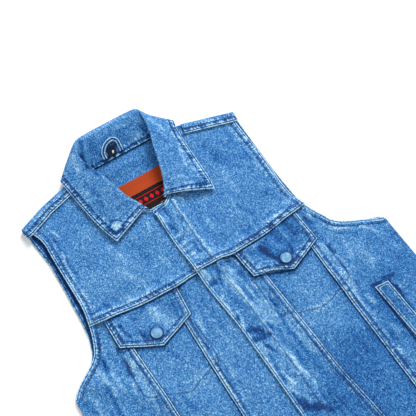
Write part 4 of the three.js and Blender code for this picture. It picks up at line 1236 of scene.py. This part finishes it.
# The collar: a stand that rises from the neck seam, a roll, and a leaf that falls outside to
# points on the fronts. Two layers of denim, turned and sewn round the edge with two rows.
# Columns of a station: seam x y z, roll x y z, shoulder of the leaf x y z, edge x y z.
COLLAR = np.array([
    [-17, 192, 9.5, -23, 198, 13, -52, 187, 14, -86, 174, 12],
    [-27, 203, 9.5, -30, 213, 18, -62, 203, 16, -92, 193, 12],
    [-43, 224, 9.5, -39, 231, 22, -72, 223, 17, -97, 217, 12],
    [-60, 248, 9.5, -44, 252, 24, -78, 250, 18, -101, 246, 12],
    [-76, 270, 9.8, -51, 279, 24, -84, 277, 18, -104, 274, 12],
    [-88, 288, 10, -58, 299, 24, -90, 299, 17, -106, 294, 12.5],
    [-93, 300, 8.6, -63, 318, 24, -92, 317, 14, -105, 312, 7],
    [-88, 304, 6.4, -62, 336, 24, -82, 334, 9, -92, 312, 1.5],
    [-70, 303.5, 5.6, -52, 350, 22, -58, 350, 6, -62, 299, 1.2],
    [-35, 303.5, 5.5, -28, 352, 21, -28, 355, 5.5, -32, 297, 1.2],
    [2, 303.5, 5.5, 3, 352, 21, 3, 355, 5.5, 2, 297, 1.2],
    [37, 303.5, 5.5, 34, 352, 21, 34, 355, 5.5, 34, 297, 1.2],
    [68, 303.5, 5.6, 55, 350, 22, 60, 350, 6, 62, 299, 1.2],
    [85, 304, 6.4, 57, 336, 24, 73, 337, 9, 88, 312, 1.5],
    [90, 299, 8.6, 54, 318, 24, 82, 318, 14, 98, 312, 7],
    [85, 287, 10, 49, 298, 24, 80, 299, 17, 93, 293, 12.5],
    [71, 268, 9.8, 42, 277, 24, 72, 277, 18, 91, 268, 12],
    [54, 246, 9.5, 35, 252, 24, 66, 250, 18, 90, 243, 12],
    [36, 222, 9.5, 29, 231, 22, 60, 224, 17, 89, 217, 12],
    [20, 204, 12.4, 22, 211, 19, 56, 203, 16, 88, 193, 12],
    [12, 197, 13.6, 14, 201, 16, 46, 189, 16, 85, 171, 12.0],
])
# The middle line of the hanger loop that lies on the stand. Columns: x, y.
LOOP_PATH = np.array([[-28, 307], [-27, 315], [-21, 323], [-12, 328], [-3, 328.5], [2, 324],
                      [2, 316], [1, 307.0]])
# Creases of the collar, in the same columns as the fronts'. Those below nothing only darken the cloth,
# as painted shade; the first three are the painted shade on the stand just inside the roll at the
# wearer's right.
COLLAR_CREASES = np.array([
    [-48, 350, -56, 329, 7, -0.8], [-57, 329, -61, 305, 7, -1.1], [-60, 303, -52, 278, 6, -0.8],
    [-70, 334, -78, 302, 6, 0.6], [-86, 284, -84, 252, 6, 0.5], [-74, 262, -72, 236, 5, -0.4],
    [-92, 212, -78, 206, 3, -0.6], [-66, 204, -60, 214, 4, 0.6], [-58, 190, -50, 205, 4, -0.4],
    [62, 330, 72, 300, 5, 0.6], [56, 300, 66, 276, 5, -0.5], [76, 258, 70, 228, 5, 0.6],
    [48, 216, 66, 204, 4, 0.6], [70, 196, 60, 212, 4, -0.5], [46, 330, 50, 306, 6, -0.6],
    [-20, 344, 24, 342, 6, 0.4], [-40, 330, -30, 344, 5, -0.3], [14, 334, 40, 338, 5, -0.3],
])
# How far the two rows are from the leaf's edge, and the middle of the bump at the right point.
COLLAR_ROWS = (2.4, 9.4)
BUMP_AT = (-74, 195)


def roll_collar():
    """Stations joined by smooth curves, along the neck and across the section. j counts the
    stations from point to point, and i the section: 0 seam, 1 roll, 2 shoulder, 3 edge."""
    keys = COLLAR.reshape(len(COLLAR), 4, 3)
    last = len(keys) - 1
    j = np.linspace(0, last, 281)[1:-1]
    j = j[(j > 0.15) & ((j < last - 0.15) | (j > last - 0.125))]
    close = np.array([0.03, 0.07, 0.12])
    j = np.unique(np.round(np.concatenate([[0], close, j, last - close, [last]]), 5))
    chains = np.stack([smooth_line(keys[:, k], j) for k in range(4)], 1)
    i = np.concatenate([np.linspace(0, 3, 58)[:-2], [2.965, 2.985, 3.0]])
    middle = np.stack([smooth_line(chain, i) for chain in chains])
    x, y = middle[..., 0], middle[..., 1]
    # Distances over the cloth: from the leaf's edge, from the seam, and from the two ends.
    step = np.linalg.norm(np.diff(middle, axis=1), axis=2)
    from_edge = np.pad(np.cumsum(step[:, ::-1], 1)[:, ::-1], ((0, 0), (0, 1)))
    from_seam = from_edge[:, :1] - from_edge
    along = np.cumsum(np.linalg.norm(np.diff(middle[:, 38], axis=0), axis=1))
    along = np.concatenate([[0], along])[:, None] + 0 * from_edge
    end_edge = np.minimum(along, along[-1:] - along)
    leaf_edge, stand_edge = np.minimum(from_edge, end_edge), np.minimum(end_edge + 2, from_seam + 2.8)
    edge = np.where(i > 1, leaf_edge, stand_edge)
    marks = fade_marks(edge.shape)
    marks["edge"] = edge
    marks["edge_along"] = np.where(from_edge < end_edge, along, from_edge)
    marks["line"] = np.min([np.abs(edge - away) for away in COLLAR_ROWS], axis=0)
    marks["line_along"] = marks["edge_along"]
    # Painted shade on the stand beside the hanger loop and along the neck seam.
    by_loop = np.minimum(nearest(middle[..., :2], fine(LOOP_PATH))[0] / 2.5, from_seam + 1.6)
    marks["cover"] = np.where(i < 1, by_loop, FAR)
    # The round bump near the right point: a disc with a groove round it.
    tip = np.where(i > 1.5, np.hypot(x - BUMP_AT[0], y - BUMP_AT[1]), FAR)
    bump = 0.9 * (1 - ease(6.5, 9, tip)) - 1.0 * ease(7.5, 9.5, tip) * (1 - ease(9.5, 14, tip))
    crease = ridges(x, y, COLLAR_CREASES, CREASE_STRAY)
    double = 1 - ease(9, 12, edge)
    rope = mottle(marks["edge_along"] / 3.2 + edge / 12, edge / 7, 91) * double
    rope = 0.45 * rope * ease(0, 2, edge)
    wave = 0.5 * mottle(along / 22, from_edge / 16, 92) + 0.2 * mottle(along / 8, from_edge / 9, 93)
    fold = 1 - ease(0, 0.22, np.abs(i - 1.05))[None, :]
    # The creases tone the collar; the negative ones are painted shade only.
    marks["ridge"] = rope * 1.3 + wave * 0.3 + 0.3 * fold + 0.85 * bump + 0.9 * crease
    dip = 0.28 * (1 - ease(0.3, 1.4, marks["line"]))
    # The leaf's ends lie on the fronts.
    on_front = (np.minimum(j, last - j) < 5.6)[:, None] & (i > 1.3)
    floor = rest_on_bed(middle[..., :2], 4) + 1.0
    middle[..., 2] = np.where(on_front, np.maximum(middle[..., 2], floor), middle[..., 2])
    # Both faces stand off the middle along its normal.
    normal = np.cross(np.gradient(middle, axis=1), np.gradient(middle, axis=0))
    normal /= np.linalg.norm(normal, axis=2, keepdims=True)
    half = 0.95 - 0.5 * (1 - ease(0, 1.1, edge))
    outer = middle + normal * (half + 0.25 * double + rope + wave * 0.6 + bump - dip
                               + 0.5 * np.maximum(crease, 0))[..., None]
    inner = middle - normal * half[..., None]
    cut = np.stack([along, from_edge], -1) + [310, 150]
    piece = close_shell("collar_cloth", "collar", outer, inner, cut, marks,
                        denim_material("collar denim", -0.02))
    sew_collar(outer, normal, from_edge, along[:, 0], int(np.searchsorted(i, 1.15)))


def sew_collar(outer, normal, from_edge, along, roll):
    """Two rows round the leaf. Each is first a path over the grid of the leaf, down one end,
    along the edge and up the other end, and is then looked up in the grid."""
    columns = np.arange(from_edge.shape[1])
    rows = np.arange(len(along))
    body, sewn = STITCH_BODY[None], []
    for away in COLLAR_ROWS:
        start, stop = np.interp([away, along[-1] - away], along, rows)
        inside = rows[(rows > start) & (rows < stop)]
        at_edge = [np.interp(away, from_edge[k, ::-1], columns[::-1]) for k in inside]
        down, back = np.linspace(roll, at_edge[0], 60), np.linspace(at_edge[-1], roll, 60)
        path = (np.concatenate([np.full(60, start), inside, np.full(60, stop)]),
                np.concatenate([down, at_edge, back]))
        lengthwise, centre, rise = along_line(look_up(outer, *path), look_up(normal, *path))
        sideways = np.cross(rise, lengthwise)
        sewn.append(centre[:, None] + body[..., :1] * lengthwise[:, None]
                    + body[..., 1:2] * sideways[:, None]
                    + (body[..., 2:] + STITCH_RISE) * rise[:, None])
    join_stitches("collar_stitching", sewn, bronze_thread)


roll_collar()


# The hanger loop, a tube of denim pressed flat and bent, and the woven size tab beside it, both
# caught in the neck seam and lying on the inside of the stand.
STAND = smooth_line(COLLAR[10].reshape(4, 3), np.linspace(0, 1, 12))


def on_stand(y):
    """The height of the stand's inner face at the middle of the back."""
    return np.interp(y, STAND[:, 1], STAND[:, 2]) + 2.9


def lay_loop():
    """A tube 6 mm wide along the path, with a crowned top and a flat underside."""
    path = fine(LOOP_PATH, 10)
    step = np.gradient(path, axis=0)
    side = np.stack([-step[:, 1], step[:, 0]], 1) / np.linalg.norm(step, axis=1)[:, None]
    across = np.linspace(1, -1, 11)[None, :, None]
    xy = path[:, None] + side[:, None] * across * 3.0
    base = on_stand(xy[..., 1])
    crown = 1.7 * np.sqrt(np.clip(1 - (across[..., 0] * 0.96) ** 2, 0, 1)) + 0.3
    marks = fade_marks(base.shape)
    marks["edge"] = 2.6 * (1 - np.abs(across[..., 0])) + 0 * base
    piece = close_shell("loop_tube", "hanger_loop", with_height(xy, base + crown),
                        with_height(xy, base), xy, marks, denim)


def lay_on_stand(name, node, corners, columns, rows, gap, thick, material):
    """A flat patch between four corners, a gap over the stand's inner face."""
    xy = even_grid(corners, columns, rows)
    base = on_stand(xy[..., 1]) + gap
    return close_shell(name, node, with_height(xy, base + thick),
                       with_height(xy, base), xy, {}, material)


lay_loop()
tab = lay_on_stand("size_tab_tape", "size_tab", [(-23, 306), (-8, 306), (-18, 321), (-3.5, 321)],
                   10, 12, 0.2, TAPE, plain_cloth("navy tape", (0.006, 0.014, 0.035)))
lay_on_stand("tab_white_block", None,
             [(-14.2, 309.4), (-11.2, 309.4), (-12.8, 313.2), (-9.8, 313.2)],
             4, 4, 0.85, 0.15, plain_cloth("white thread", (0.75, 0.75, 0.72)))
